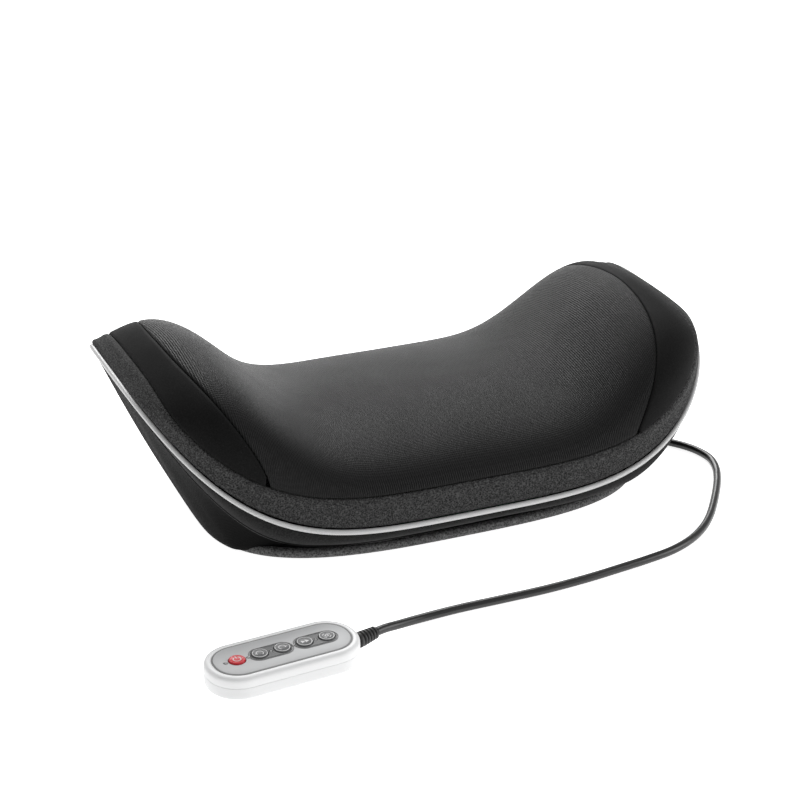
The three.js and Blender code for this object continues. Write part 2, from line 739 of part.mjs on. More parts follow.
function controlBoard() {
  const board = block([-50, 50], [-150, -128], [21.5, 23.1]);
  const feet = [-44, 44].flatMap((x) => [
    block([x - 2, x + 2], [-134, -130], [17, 22]),
    block([x - 2, x + 2], [-148, -144], [20, 22]),
  ]);
  const sockets = [-34, -8, 18].map((x) => block([x, x + 10], [-146, -138], [23, 28]));
  const coil = rod(5, 23, 31, 12).translate(40, -139, 0);
  return carve([board, ...feet, ...sockets, coil], []);
}

function powerJack() {
  const profile = [[0, 40.5], [4, 40.5], [4, 53.4], [2.6, 53.4], [2.6, 44], [0, 44]];
  return alongY(turned(profile, 12)).translate(JACK_X, 0, JACK_Z);
}

function cordGland() {
  const profile = [[0, -6], [5, -6], [5, 4], [4.4, 6], [4.4, GLAND_LENGTH - 2]];
  profile.push([3.6, GLAND_LENGTH], [0, GLAND_LENGTH]);
  return aim(turned(profile, 12), glandPoint, GLAND_AXIS);
}

// ---------------------------------------------------------------- handset

const keyX = (i) => (i - 2) * KEY_PITCH;
const HANDSET_SCREW_X = [-39.5, 39.5];
const HANDSET_WALL = 2;
const PLATE_SHELF_Z = HANDSET_HEIGHT - 0.9;
const CAVITY_TOP_Z = 12;

// The handset's outline in plan, moved inwards by a margin.
function handsetShape(margin) {
  const [length, width] = [HANDSET_LENGTH - 2 * margin, HANDSET_WIDTH - 2 * margin];
  return roundedRectangle(length, width, HANDSET_CORNER - margin);
}

function handsetBase() {
  const outer = raised(handsetShape(0), 0, HANDSET_SPLIT_Z);
  const hollow = raised(handsetShape(HANDSET_WALL), 1.6, 10);
  const posts = HANDSET_SCREW_X.map((x) => rod(3.4, 1, HANDSET_SPLIT_Z, 12).translate(x, 0, 0));
  const holes = HANDSET_SCREW_X.map((x) => rod(1.4, -1, 12, 10).translate(x, 0, 0));
  const sinks = HANDSET_SCREW_X.map((x) => rod(2.7, -1, 3, 12).translate(x, 0, 0));
  return carve([carve([outer], [hollow]), ...posts], [...holes, ...sinks]);
}

function handsetTop() {
  const low = HANDSET_SPLIT_Z + GAP;
  const outer = raised(handsetShape(0), low, HANDSET_HEIGHT);
  const hollow = raised(handsetShape(HANDSET_WALL), 5, CAVITY_TOP_Z);
  const shelf = raised(roundedRectangle(84, 31, 14.5), PLATE_SHELF_Z, 20);
  const posts = HANDSET_SCREW_X.map((x) => rod(2.8, low, CAVITY_TOP_Z + 1, 12).translate(x, 0, 0));
  const pilots = HANDSET_SCREW_X.map((x) => rod(1.4, 5, 11, 10).translate(x, 0, 0));
  const body = carve([outer], [hollow, shelf]);
  return carve([body, ...posts], [...pilots, ...faceHoles()]);
}

function faceHoles() {
  const keys = KEY_NAMES.map((_, i) => rod(KEY_RADIUS + 0.4, 9, 20, 12).translate(keyX(i), 0, 0));
  const pips = KEY_NAMES.map((_, i) => rod(1.35, 9, 20, 6).translate(keyX(i) - PIP_OFFSET, 0, 0));
  return [...keys, ...pips];
}

function facePlate() {
  const sheet = raised(roundedRectangle(83.2, 30.2, 14.1), PLATE_SHELF_Z + GAP, HANDSET_HEIGHT + 0.2);
  return carve([sheet], faceHoles());
}

// A key with a retaining flange under the shell; its top stands above the face plate.
function key(height) {
  const profile = [[0, 10], [5.6, 10], [5.6, 11.2], [KEY_RADIUS, 11.2], [KEY_RADIUS, height - 0.6]];
  profile.push([KEY_RADIUS - 0.6, height], [0, height]);
  return turned(profile, 12);
}

function lightGuide() {
  const first = keyX(0) - PIP_OFFSET;
  const last = keyX(4) - PIP_OFFSET;
  const bar = block([first - 0.8, last + 0.8], [7.2, 8.8], [9.8, 11]);
  const fingers = KEY_NAMES.map((_, i) => {
    const x = keyX(i) - PIP_OFFSET;
    return block([x - 0.6, x + 0.6], [-0.6, 7.5], [9.8, 11]);
  });
  const pips = KEY_NAMES.map((_, i) => rod(0.9, 10, 14.9, 6).translate(keyX(i) - PIP_OFFSET, 0, 0));
  return carve([bar, ...fingers, ...pips], []);
}

function handsetBoard() {
  const board = block([-34, 34], [-14, 14], [4.5, 6]);
  const switches = KEY_NAMES.map((_, i) => block([keyX(i) - 3, keyX(i) + 3], [-3, 3], [5.5, 8.6]));
  return carve([board, ...switches], []);
}

function strainRelief() {
  const profile = [[0, 0], [4.7, 0]];
  const ribs = 5;
  const ribLength = RELIEF_LENGTH / ribs;
  for (let i = 0; i < ribs; i += 1) {
    const outer = 4.7 - 0.24 * i;
    const start = i * ribLength;
    profile.push([outer, start + ribLength * 0.6]);
    if (i < ribs - 1) {
      profile.push([outer - 0.9, start + ribLength * 0.7], [outer - 0.9, start + ribLength * 0.9]);
      profile.push([outer - 0.24, start + ribLength]);
    }
  }
  profile.push([3.4, RELIEF_LENGTH], [0, RELIEF_LENGTH]);
  return turned(profile, 8);
}

function addHandset() {
  const handset = new THREE.Group();
  handset.position.set(HANDSET_PLACE.x, HANDSET_PLACE.y, 0);
  handset.rotation.z = HANDSET_PLACE.yaw;
  massager.add(handset);
  place('handset_base', 'handset_white', handsetBase(), handset);
  place('handset_top', 'handset_white', handsetTop(), handset);
  place('face_plate', 'face_grey', facePlate(), handset);
  KEY_NAMES.forEach((name, i) => {
    const finish = i === 0 ? 'power_red' : 'key_grey';
    place(name, finish, key(KEY_TOP_Z).translate(keyX(i), 0, 0), handset);
  });
  place('light_guide', 'light_guide', lightGuide(), handset);
  place('handset_board', 'circuit_board', handsetBoard(), handset);
  HANDSET_SCREW_X.forEach((x, i) => {
    const turnedScrew = screw(1.1, 2.4, -10.4, -2.6, 1.6).rotateX(Math.PI).translate(x, 0, 0);
    place(`handset_screw_${i + 1}`, 'steel', turnedScrew, handset);
  });
}

// The strain relief stands in the handset's end and points along the cord.
function addCord() {
  const reach = HANDSET_LENGTH / 2 + GAP + 0.9;
  const [cos, sin] = [Math.cos(HANDSET_PLACE.yaw), Math.sin(HANDSET_PLACE.yaw)];
  const [x, y] = [HANDSET_PLACE.x + reach * cos, HANDSET_PLACE.y + reach * sin];
  const foot = new THREE.Vector3(x, y, RELIEF_Z);
  const along = new THREE.Vector3(Math.cos(RELIEF_YAW), Math.sin(RELIEF_YAW), 0);
  place('strain_relief', 'cord_black', aim(strainRelief(), foot, along));
  const route = CORD_ROUTE.map((place) => new THREE.Vector3(...place));
  const path = new THREE.CatmullRomCurve3(route, false, 'centripetal');
  const section = new THREE.Shape();
  for (let i = 0; i < CORD_SIDES; i += 1) {
    const angle = (2 * Math.PI * i) / CORD_SIDES;
    section[i ? 'lineTo' : 'moveTo'](CORD_RADIUS * Math.cos(angle), CORD_RADIUS * Math.sin(angle));
  }
  section.closePath();
  const options = { steps: CORD_STEPS, extrudePath: path, bevelEnabled: false };
  const tube = new THREE.ExtrudeGeometry(section, options);
  place('handset_cord', 'cord_black', tube);
}

// ---------------------------------------------------------------- assembly

place('back_panel', 'panel_fabric', raised(panelShape(0), 0, PANEL_THICKNESS));
place('back_panel_binding', 'strap_webbing', panelBinding());
place('strap_left', 'strap_webbing', strap(-1));
place('strap_right', 'strap_webbing', strap(1));
place('rear_shell', 'black_plastic', rearShell());
place('edge_piping', 'silver_piping', edgePiping());
place('border_band', 'band_fabric', borderBand());
place('mesh_panel', 'mesh_fabric', meshPanel());
place('side_panel_left', 'plain_fabric', sidePanel(-1));
place('side_panel_right', 'plain_fabric', sidePanel(1));
place('foam_bolster_left', 'foam', foamBolster(-1));
place('foam_bolster_right', 'foam', foamBolster(1));
addDrive();
place('control_board', 'circuit_board', controlBoard());
place('power_jack', 'black_plastic', powerJack());
place('cord_gland', 'cord_black', cordGland());
addHandset();
addCord();

export default massager;
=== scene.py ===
"""Looks of the shiatsu neck massager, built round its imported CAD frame.

Lengths are in millimetres inside the shape functions and in metres once they are Blender objects.
"""

import json
import math

import bmesh
import bpy
import numpy as np
from mathutils import Matrix, Vector


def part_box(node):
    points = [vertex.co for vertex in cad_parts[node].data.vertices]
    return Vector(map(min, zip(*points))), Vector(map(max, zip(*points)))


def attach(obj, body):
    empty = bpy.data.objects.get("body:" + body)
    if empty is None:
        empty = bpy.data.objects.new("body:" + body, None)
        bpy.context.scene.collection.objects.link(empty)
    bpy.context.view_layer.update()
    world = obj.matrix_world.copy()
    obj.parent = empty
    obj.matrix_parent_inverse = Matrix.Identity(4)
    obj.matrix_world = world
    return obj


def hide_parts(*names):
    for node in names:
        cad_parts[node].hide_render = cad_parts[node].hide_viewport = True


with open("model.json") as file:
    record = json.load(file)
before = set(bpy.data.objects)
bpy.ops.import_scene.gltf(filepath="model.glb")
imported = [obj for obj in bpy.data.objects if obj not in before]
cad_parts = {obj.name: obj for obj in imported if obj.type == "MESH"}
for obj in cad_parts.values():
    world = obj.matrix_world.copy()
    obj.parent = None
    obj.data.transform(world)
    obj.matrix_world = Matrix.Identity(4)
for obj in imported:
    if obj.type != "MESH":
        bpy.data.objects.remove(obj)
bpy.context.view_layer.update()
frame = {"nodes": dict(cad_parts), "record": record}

MM = 0.001

# Points closer than this, in metres, are one point after a cut.
MERGE_DISTANCE = 0.000002

# ---------------------------------------------------------------- driving dimensions (mm)

# Ends of the pillow by the sign of their x.
SIDE_NAMES = {-1: "left", 1: "right"}

# Pillow outline seen from above, and the pole that the surface shares run out from.
HALF_LENGTH = 198.5
FRONT_DEPTH = 157.0
REAR_DEPTH = 57.0
FRONT_EXPONENT = 3.8
REAR_EXPONENT = 6.3
SPINE_Y = -53.0

# Piped edge.
EDGE_LOW = 27.4
EDGE_RISE = 74.6
EDGE_POWER = 4.0
PIPING_RADIUS = 1.75
EDGE_CLEARANCE = 1.6

# Padded cover above the edge.
SADDLE_CROWN = 47.4
HORN_CROWN = {"left": 90.0, "right": 75.0}
HORN_X = 180.0
HORN_SHARPNESS = {"left": 3.8, "right": 3.5}
END_POWER = 3.6
SECTION_POWER = 1.65
SECTION_SQUARENESS = 4.0
COVER_THICKNESS = 3.0

# Rear hull under the edge.
KEEL = 12.8
KEEL_FLAT_X = 110.0
KEEL_POWER = 2.2
BILGE_POWER = 6.0
HULL_THICKNESS = 2.0

# Seams: half a long, square oval on each side, and the border band's upper edge.
SEAM_X = 166.0
SEAM_SHIFT = -6.0
SEAM_Y = -30.0
SEAM_HALF_WIDTH = 128.0
SEAM_SQUARENESS = 7.0
LEAST_SIDE_SHARE = 0.0035
BAND_WIDTH = 20.5
BAND_END_NARROWING = 5.5
SEAM_DEPTH = 1.6
SEAM_WIDTH = 2.4
BEAD_HEIGHT = 0.45
BEAD_AT = 3.6

# Belt panel and straps.
PANEL_HALF_LENGTH = 150.0
PANEL_HALF_WIDTH = 89.5
PANEL_Y = -45.0
PANEL_EXPONENT = 3.05
PANEL_Z = (2.2, 8.6)
HEM_WIDTH = 6.4
HEM_Z = (0.3, 6.6)
WEB_TOP_Y = 38.0
WEB_FOOT_Y = -24.0
WEB_FRONT_X = {"left": 30.0, "right": 146.0}
WEB_TOP_SHARES = (0.99, 0.94)
WEB_THICKNESS = 1.6

EYELET_RADIUS = 6.5
EYELET_REACH = (-2, 42)

# Belt panel's cloth run: remesh size, pressure and furthest move in SI units, then limits of height.
BELT_VOXEL = 0.0045
BELT_PRESSURE = 4.0
BELT_PUFF = 0.0016
BELT_LOWEST = 0.4
BELT_HIGHEST = 11.0
CLOTH_FRAMES = 20

# Handset, in its own frame: length along x, keys on top.
HANDSET_X = -165.6
HANDSET_Y = -244.0
HANDSET_YAW = math.radians(4.7)
HANDSET_SIZE = (94.0, 41.0, 19.5)
SPLIT_Z = 8.0
FACE_Z = 14.7
PLATE_INSET = 5.4
KEY_PITCH = 14.1
KEY_RADIUS = 4.9
KEY_TOP = 15.7
KEY_NAMES = ("power_key", "mode_key_1", "mode_key_2", "mode_key_3", "mode_key_4")
PIP_OFFSET = 7.1
MARK_Z = (15.46, 15.6)
PIP_RADIUS = 0.95
CUT_Z = (9, 20)

# Cord from the hull's gland to the handset's strain relief, in metres as in the CAD source.
CORD_DIAMETER = 0.0054
CORD_ROUTE = [
    (0.159, -0.0452, 0.01745), (0.1626, -0.0464, 0.0131), (0.168, -0.0488, 0.0084), (0.175, -0.053, 0.0048),
    (0.184, -0.060, 0.0031), (0.192, -0.0685, 0.0028), (0.199, -0.079, 0.0028), (0.203, -0.090, 0.0028),
    (0.204, -0.102, 0.0028), (0.200, -0.116, 0.0028), (0.192, -0.131, 0.0028), (0.182, -0.146, 0.0028),
    (0.171, -0.161, 0.0028), (0.159, -0.176, 0.0028), (0.146, -0.189, 0.0028), (0.130, -0.2005, 0.0028),
    (0.112, -0.2085, 0.0028), (0.092, -0.213, 0.0028), (0.070, -0.2165, 0.0028), (0.045, -0.220, 0.0028),
    (0.015, -0.2225, 0.0028), (-0.015, -0.223, 0.0028), (-0.045, -0.2232, 0.0028), (-0.070, -0.2253, 0.0031),
    (-0.088, -0.2294, 0.0046), (-0.097, -0.2324, 0.0060), (-0.1039, -0.235, 0.0066),
]
GLAND_POINT = (150.0, -42.0, 28.3)
GLAND_AXIS = (0.62, -0.22, -0.75)
RELIEF_REACH = 48.2
RELIEF_YAW = math.radians(20.0)
RELIEF_Z = 6.6

# Camera.
CAMERA_TARGET = (0.0, 0.0, 0.060)
CAMERA_TURN = math.radians(22.74)
CAMERA_LIFT = math.radians(23.4)
CAMERA_DISTANCE = 1.3974
CAMERA_LENS = 90.55
CAMERA_SHIFT = (0.0193, -0.0315)

# Studio, in metres and watts: name, place, target, size and power of each soft box.
SOFT_BOXES = (
    ("soft_box_rear", (0.3, 1.25, 1.1), (0, 0, 0.05), 1.2, 30),
    ("soft_box_right", (1.6, -0.9, 0.7), (0.1, 0, 0.05), 1.0, 12),
    ("soft_box_top", (-0.2, 0.1, 1.7), (0, -0.05, 0), 1.1, 3),
)
SURROUND_STRENGTH = 0.5
FLOOR_SIZE = 24
FLOOR_Z = -0.0002

# Strength of the light that the studio's lit floor gives off.
FLOOR_GLOW = 0.85

# Pitches of woven patterns: ribs and knit steps in mm, the rest in metres.
RIB_PITCH = 1.45
KNIT_PITCH = 1.15
THREAD_PITCH = 0.0009
WARP_PITCH = 0.0016
WEFT_PITCH = 0.0013
TURNING_PITCH = 0.0006

# Angles in degrees past which an edge is drawn sharp.
SLEEVE_ANGLE = 50
HANDSET_ANGLE = 45
FACE_ANGLE = 35
MARK_ANGLE = 30

# Every finish by name, made before the first piece.
MATERIALS = {}

# ---------------------------------------------------------------- camera, light and floor


def make_camera():
    """The camera at the studio's viewing angle, looking down at the pillow's front."""
    turn = CAMERA_TURN
    lift = CAMERA_LIFT
    right = Vector((math.cos(turn), -math.sin(turn), 0))
    back = Vector((-math.sin(turn) * math.cos(lift), -math.cos(turn) * math.cos(lift), math.sin(lift)))
    up = back.cross(right)
    data = bpy.data.cameras.new("camera")
    data.sensor_width = 36
    data.lens = CAMERA_LENS
    data.shift_x, data.shift_y = CAMERA_SHIFT
    data.clip_start = 0.05
    data.clip_end = 50
    camera = bpy.data.objects.new("camera", data)
    place = Vector(CAMERA_TARGET) + back * CAMERA_DISTANCE
    axes = Matrix((right, up, back)).transposed().to_4x4()
    camera.matrix_world = Matrix.Translation(place) @ axes
    bpy.context.scene.collection.objects.link(camera)
    bpy.context.scene.camera = camera


def make_light(name, place, target, size, power):
    """A square soft box at place, facing target."""
    data = bpy.data.lights.new(name, "AREA")
    data.size = size
    data.energy = power
    light = bpy.data.objects.new(name, data)
    light.location = place
    light.rotation_mode = "QUATERNION"
    light.rotation_quaternion = (Vector(target) - Vector(place)).to_track_quat("-Z", "Y")
    bpy.context.scene.collection.objects.link(light)


def make_studio():
    """A pale floor, a white surround and soft boxes behind, above and to the right."""
    scene = bpy.context.scene
    scene.view_settings.view_transform = "Standard"
    world = bpy.data.worlds.new("studio")
    world.use_nodes = True
    world.node_tree.nodes["Background"].inputs["Color"].default_value = (1, 1, 1, 1)
    world.node_tree.nodes["Background"].inputs["Strength"].default_value = SURROUND_STRENGTH
    scene.world = world
    for box in SOFT_BOXES:
        make_light(*box)
    bpy.ops.mesh.primitive_plane_add(size=FLOOR_SIZE, location=(0, 0, FLOOR_Z))
    floor = bpy.context.object
    floor.name = "floor"
    floor.data.materials.append(floor_material())


# ---------------------------------------------------------------- material helpers


def socket_name(key):
    """The title of a shader socket from its plain key."""
    return key.replace("_", " ").title().replace("Ior", "IOR")


class Nodes:
    """A material under construction: a principled shader and shortcuts for its nodes."""

    def __init__(self, name):
        self.material = bpy.data.materials.new(name)
        self.material.use_nodes = True
        self.tree = self.material.node_tree
        self.shader = self.tree.nodes["Principled BSDF"]
        self.place = self.add("ShaderNodeTexCoord").outputs["Object"]

    def add(self, kind, **values):
        """A node of one kind, with properties and input values by name."""
        node = self.tree.nodes.new(kind)
        for key, value in values.items():
            if hasattr(node, key):
                setattr(node, key, value)
            else:
                node.inputs[socket_name(key)].default_value = value
        return node

    def link(self, source, target):
        self.tree.links.new(source, target)

    def set(self, **values):
        """Constants on the shader's own sockets."""
        for key, value in values.items():
            self.shader.inputs[socket_name(key)].default_value = value

    def noise(self, scale, detail=4.0, roughness=0.55, source=None):
        """A noise value between 0 and 1; scale is in cells a metre."""
        node = self.add("ShaderNodeTexNoise", scale=scale, detail=detail, roughness=roughness)
        self.link(source or self.place, node.inputs["Vector"])
        return node.outputs["Fac"]

    def cells(self, scale, source=None):
        """Distance to the nearest cell centre."""
        node = self.add("ShaderNodeTexVoronoi", scale=scale)
        self.link(source or self.place, node.inputs["Vector"])
        return node.outputs["Distance"]

    def math(self, operation, a, b=None):
        """One maths step on sockets or numbers."""
        node = self.add("ShaderNodeMath", operation=operation)
        for value, socket in zip((a, b), node.inputs):
            if value is None:
                continue
            if isinstance(value, (int, float)):
                socket.default_value = value
            else:
                self.link(value, socket)
        return node.outputs[0]

    def wave(self, value, pitch):
        """A sine of a length, one turn for each pitch."""
        return self.math("SINE", self.math("MULTIPLY", value, 2 * math.pi / pitch))

    def blend(self, a, share_a, b, share_b):
        """The sum of two values, each times its share."""
        return self.math("ADD", self.math("MULTIPLY", a, share_a), self.math("MULTIPLY", b, share_b))

    def spread(self, value, low, high, to_low, to_high):
        """Maps a value from one range to another, clamped."""
        node = self.add("ShaderNodeMapRange")
        self.link(value, node.inputs["Value"])
        limits = (low, high, to_low, to_high)
        for socket, limit in zip(("From Min", "From Max", "To Min", "To Max"), limits):
            node.inputs[socket].default_value = limit
        return node.outputs["Result"]

    def split(self, vector):
        """The x, y and z of a vector."""
        node = self.add("ShaderNodeSeparateXYZ")
        self.link(vector, node.inputs[0])
        return node.outputs

    def attribute(self, name):
        """A point attribute as a vector."""
        return self.add("ShaderNodeAttribute", attribute_name=name).outputs["Vector"]

    def colour(self, factor, dark, light):
        """The base colour runs from dark to light with factor."""
        ramp = self.add("ShaderNodeValToRGB")
        ramp.color_ramp.elements[0].color = (*dark, 1)
        ramp.color_ramp.elements[1].color = (*light, 1)
        self.link(factor, ramp.inputs["Fac"])
        self.link(ramp.outputs["Color"], self.shader.inputs["Base Color"])

    def roughness(self, factor, low, high):
        self.link(self.spread(factor, 0, 1, low, high), self.shader.inputs["Roughness"])

    def bump(self, height, distance, strength=1.0):
        """A bump of real height, in metres, on top of those before it."""
        node = self.add("ShaderNodeBump")
        node.inputs["Strength"].default_value = strength
        node.inputs["Distance"].default_value = distance
        self.link(height, node.inputs["Height"])
        before = self.shader.inputs["Normal"].links
        if before:
            self.link(before[0].from_socket, node.inputs["Normal"])
        self.link(node.outputs["Normal"], self.shader.inputs["Normal"])


def grey(value, warm=0.0):
    """A near neutral colour."""
    return (value * (1 + warm), value, value * (1 - warm))


def floor_material():
    """Pale matt paper with a trace of tone variation."""
    m = Nodes("floor_paper")
    m.colour(m.noise(1.5, 2), grey(0.93), grey(0.955))
    m.set(roughness=0.9, specular_ior_level=0.1, emission_strength=FLOOR_GLOW)
    m.set(emission_color=(1, 1, 1, 1))
    m.bump(m.noise(900, 2), 0.00005, 0.2)
    return m.material


def mesh_fabric():
    """Ribbed spacer knit: fine ribs that run front to back, crossed by small knit steps."""
    m = Nodes("mesh_fabric")
    weave = m.attribute("weave")
    across, along = m.split(weave)[:2]
    wobble = m.math("MULTIPLY", m.noise(0.35, 2, 0.5, weave), 0.9)
    rib = m.wave(m.math("ADD", across, wobble), RIB_PITCH)
    height = m.spread(m.blend(rib, 0.75, m.wave(along, KNIT_PITCH), 0.25), -1, 1, 0, 1)
    fuzz = m.noise(2600, 3)
    tone = m.blend(height, 0.7, fuzz, 0.3)
    m.colour(tone, grey(0.0006), grey(0.010))
    m.roughness(m.noise(45, 3), 0.46, 0.56)
    m.set(specular_ior_level=0.14, sheen_weight=0.004, sheen_roughness=0.3)
    m.bump(height, 0.0004, 0.9)
    m.bump(fuzz, 0.00008, 0.5)
    return m.material


def knit_fabric(name, dark, light, grain, depth, sheen):
    """A close knit with a speckled nap; grain is in cells a metre."""
    m = Nodes(name)
    nap = m.noise(grain, 5, 0.7)
    tone = m.blend(nap, 0.75, m.cells(grain * 0.9), 0.4)
    m.colour(m.spread(tone, 0.42, 0.78, 0, 1), dark, light)
    m.roughness(m.noise(60, 3), 0.66, 0.82)
    m.set(specular_ior_level=0.12, sheen_weight=sheen, sheen_roughness=0.4)
    m.bump(tone, depth, 0.9)
    m.bump(m.noise(35, 3), 0.0006, 0.25)
    return m.material


def piping_material():
    """Silver grey ribbon rolled over a cord, with a fine slanted weave."""
    m = Nodes("silver_piping")
    x, y, z = m.split(m.place)
    slant = m.math("ADD", m.math("ADD", x, y), m.math("MULTIPLY", z, 1.6))
    fleck = m.noise(1800, 3)
    tone = m.math("ADD", m.spread(m.wave(slant, THREAD_PITCH), -1, 1, 0, 0.5), m.math("MULTIPLY", fleck, 0.5))
    m.colour(tone, grey(0.22), grey(0.76))
    m.roughness(fleck, 0.35, 0.55)
    m.set(metallic=0.2, specular_ior_level=0.5)
    m.bump(tone, 0.00012, 0.6)
    return m.material


def webbing_material():
    """Woven elastic webbing."""
    m = Nodes("strap_webbing")
    x, y, z = m.split(m.place)
    warp = m.wave(y, WARP_PITCH)
    weft = m.wave(m.math("ADD", z, x), WEFT_PITCH)
    weave = m.spread(m.math("MULTIPLY", warp, weft), -1, 1, 0, 1)
    tone = m.blend(weave, 0.6, m.noise(1500, 3), 0.4)
    m.colour(tone, grey(0.0015), grey(0.007))
    m.roughness(tone, 0.7, 0.85)
    m.set(specular_ior_level=0.06)
    m.bump(tone, 0.0002, 0.8)
    return m.material


def moulded(name, dark, light, rough, grain=1400.0, depth=0.00004, coat=0.0, specular=0.5):
    """A moulded plastic or rubber: faint tone drift, fine texture and uneven gloss."""
    m = Nodes(name)
    drift = m.noise(38, 3)
    m.colour(drift, dark, light)
    m.roughness(m.noise(120, 4), rough[0], rough[1])
    m.set(specular_ior_level=specular, coat_weight=coat, coat_roughness=0.15)
    m.bump(m.noise(grain, 2), depth, 0.5)
    return m.material


def metal(name, dark, light, rough, turned=True):
    """A machined metal with turning marks and a little staining."""
    m = Nodes(name)
    marks = m.noise(260, 2)
    if turned:
        marks = m.spread(m.wave(m.split(m.place)["Z"], TURNING_PITCH), -1, 1, 0, 1)
    stain = m.noise(55, 4)
    m.colour(stain, dark, light)
    m.roughness(stain, rough[0], rough[1])
    m.set(metallic=1.0)
    m.bump(marks, 0.00002, 0.5)
    return m.material


def board_material():
    """Solder mask with traces showing through."""
    m = Nodes("circuit_board")
    traces = m.spread(m.cells(260), 0.18, 0.24, 0, 1)
    m.colour(traces, (0.02, 0.16, 0.07), (0.008, 0.07, 0.03))
    m.roughness(m.noise(300, 2), 0.3, 0.5)
    m.bump(traces, 0.00005, 0.4)
    return m.material


def foam_material():
    """Open cell foam."""
    m = Nodes("foam")
    pores = m.cells(900)
    m.colour(pores, grey(0.12), grey(0.36))
    m.roughness(pores, 0.9, 1.0)
    m.bump(pores, 0.0005, 0.9)
    return m.material


def lens_material():
    """Red translucent lens."""
    m = Nodes("heat_lens")
    m.colour(m.noise(90, 2), (0.25, 0.008, 0.006), (0.42, 0.02, 0.012))
    m.roughness(m.noise(200, 2), 0.1, 0.25)
    m.set(transmission_weight=0.35, coat_weight=0.5)
    return m.material


def cord_material():
    """Smooth glossy jacket with faint drawing lines."""
    m = Nodes("cord_black")
    m.colour(m.noise(70, 3), grey(0.0035), grey(0.007))
    m.roughness(m.noise(160, 3), 0.24, 0.36)
    m.set(specular_ior_level=0.55)
    m.bump(m.noise(500, 2), 0.00004, 0.3)
    return m.material


def make_materials():
    """Every finish by the record's slot name."""
    return {
        "mesh_fabric": mesh_fabric(),
        "plain_fabric": knit_fabric("plain_fabric", grey(0.001), grey(0.006), 1500, 0.0001, 0.0),
        "band_fabric": knit_fabric("band_fabric", grey(0.0005), grey(0.07), 1150, 0.0003, 0.0),
        "hull_fabric": knit_fabric("hull_fabric", grey(0.002), grey(0.016), 1000, 0.00018, 0.0),
        "silver_piping": piping_material(),
        "panel_fabric": knit_fabric("panel_fabric", grey(0.003), grey(0.012), 1100, 0.00018, 0.02),
        "hem_fabric": knit_fabric("hem_fabric", grey(0.03), grey(0.18), 850, 0.00022, 0.1),
        "strap_webbing": webbing_material(),
        "foam": foam_material(),
        "black_plastic": moulded("black_plastic", grey(0.010), grey(0.018), (0.42, 0.58)),
        "grey_plastic": moulded("grey_plastic", grey(0.12), grey(0.16), (0.42, 0.58)),
        "nylon": moulded("nylon", (0.66, 0.63, 0.52), (0.74, 0.72, 0.62), (0.35, 0.5)),
        "steel": metal("steel", grey(0.42), grey(0.56), (0.22, 0.4)),
        "bronze": metal("bronze", (0.36, 0.20, 0.06), (0.50, 0.31, 0.11), (0.3, 0.5)),
        "node_rubber": moulded("node_rubber", grey(0.030), grey(0.050), (0.6, 0.75), 900, 0.0001),
        "heat_lens": lens_material(),
        "circuit_board": board_material(),
        "handset_white": moulded(
            "handset_white", grey(0.68, -0.004), grey(0.73, -0.004), (0.3, 0.42), 1900, 0.00002
        ),
        "face_grey": moulded("face_grey", grey(0.40, -0.012), grey(0.45, -0.012), (0.4, 0.5), 2200, 0.00002),
        "pod_grey": moulded("pod_grey", grey(0.06, -0.02), grey(0.085, -0.02), (0.4, 0.5), 2200, 0.00002),
        "power_red": moulded("power_red", (0.52, 0.012, 0.022), (0.60, 0.018, 0.03), (0.3, 0.4)),
        "key_grey": moulded("key_grey", grey(0.085, -0.02), grey(0.12, -0.02), (0.35, 0.45)),
        "print_light": moulded("print_light", grey(0.58), grey(0.64), (0.4, 0.5)),
        "light_guide": moulded("light_guide", grey(0.20), grey(0.30), (0.15, 0.25), coat=0.5),
        "groove_grey": moulded("groove_grey", grey(0.16), grey(0.20), (0.5, 0.6)),
        "cord_black": cord_material(),
        "relief_black": moulded("relief_black", grey(0.012), grey(0.022), (0.4, 0.55)),
    }


# ---------------------------------------------------------------- mesh helpers


def loft(rings, endless):
    """Vertices and faces of a skin over closed rings, joined end to start or closed by fans."""
    rings = np.asarray(rings, float)
    count, size = rings.shape[:2]
    verts = rings.reshape(-1, 3)
    spans = count if endless else count - 1
    i, j = np.meshgrid(np.arange(spans), np.arange(size), indexing="ij")
    up = (i + 1) % count
    side = (j + 1) % size
    quads = np.stack([i * size + j, i * size + side, up * size + side, up * size + j], -1)
    faces = quads.reshape(-1, 4).tolist()
    if not endless:
        hubs = np.stack([rings[0].mean(0), rings[-1].mean(0)])
        first = len(verts)
        verts = np.concatenate([verts, hubs])
        last = (count - 1) * size
        for k in range(size):
            after = (k + 1) % size
            faces.append([after, k, first])
            faces.append([last + k, last + after, first + 1])
    return verts, faces


def shade_smooth(mesh, sharp=None):
    """Smooth shading, except at edges sharper than an angle in degrees."""
    mesh.polygons.foreach_set("use_smooth", [True] * len(mesh.polygons))
    if sharp is not None:
        mesh.set_sharp_from_angle(angle=math.radians(sharp))


def vertex_places(mesh):
    """The places of a mesh's vertices, in metres."""
    return np.array([v.co for v in mesh.vertices])


def bake_modifiers(obj):
    """Replaces obj's mesh by what its modifiers make of it."""
    bpy.context.view_layer.update()
    graph = bpy.context.evaluated_depsgraph_get()
    made = bpy.data.meshes.new_from_object(obj.evaluated_get(graph))
    obj.modifiers.clear()
    obj.data = made


def new_object(name, rings, finish, endless=False, sharp=None):
    """A mesh object lofted over rings in mm, with a finish and smooth shading."""
    verts, faces = loft(rings, endless)
    mesh = bpy.data.meshes.new(name)
    mesh.from_pydata((np.asarray(verts, float) * MM).tolist(), [], faces)
    obj = bpy.data.objects.new(name, mesh)
    bpy.context.scene.collection.objects.link(obj)
    mesh.materials.append(MATERIALS[finish])
    face_outwards(mesh)
    shade_smooth(mesh, sharp)
    return obj


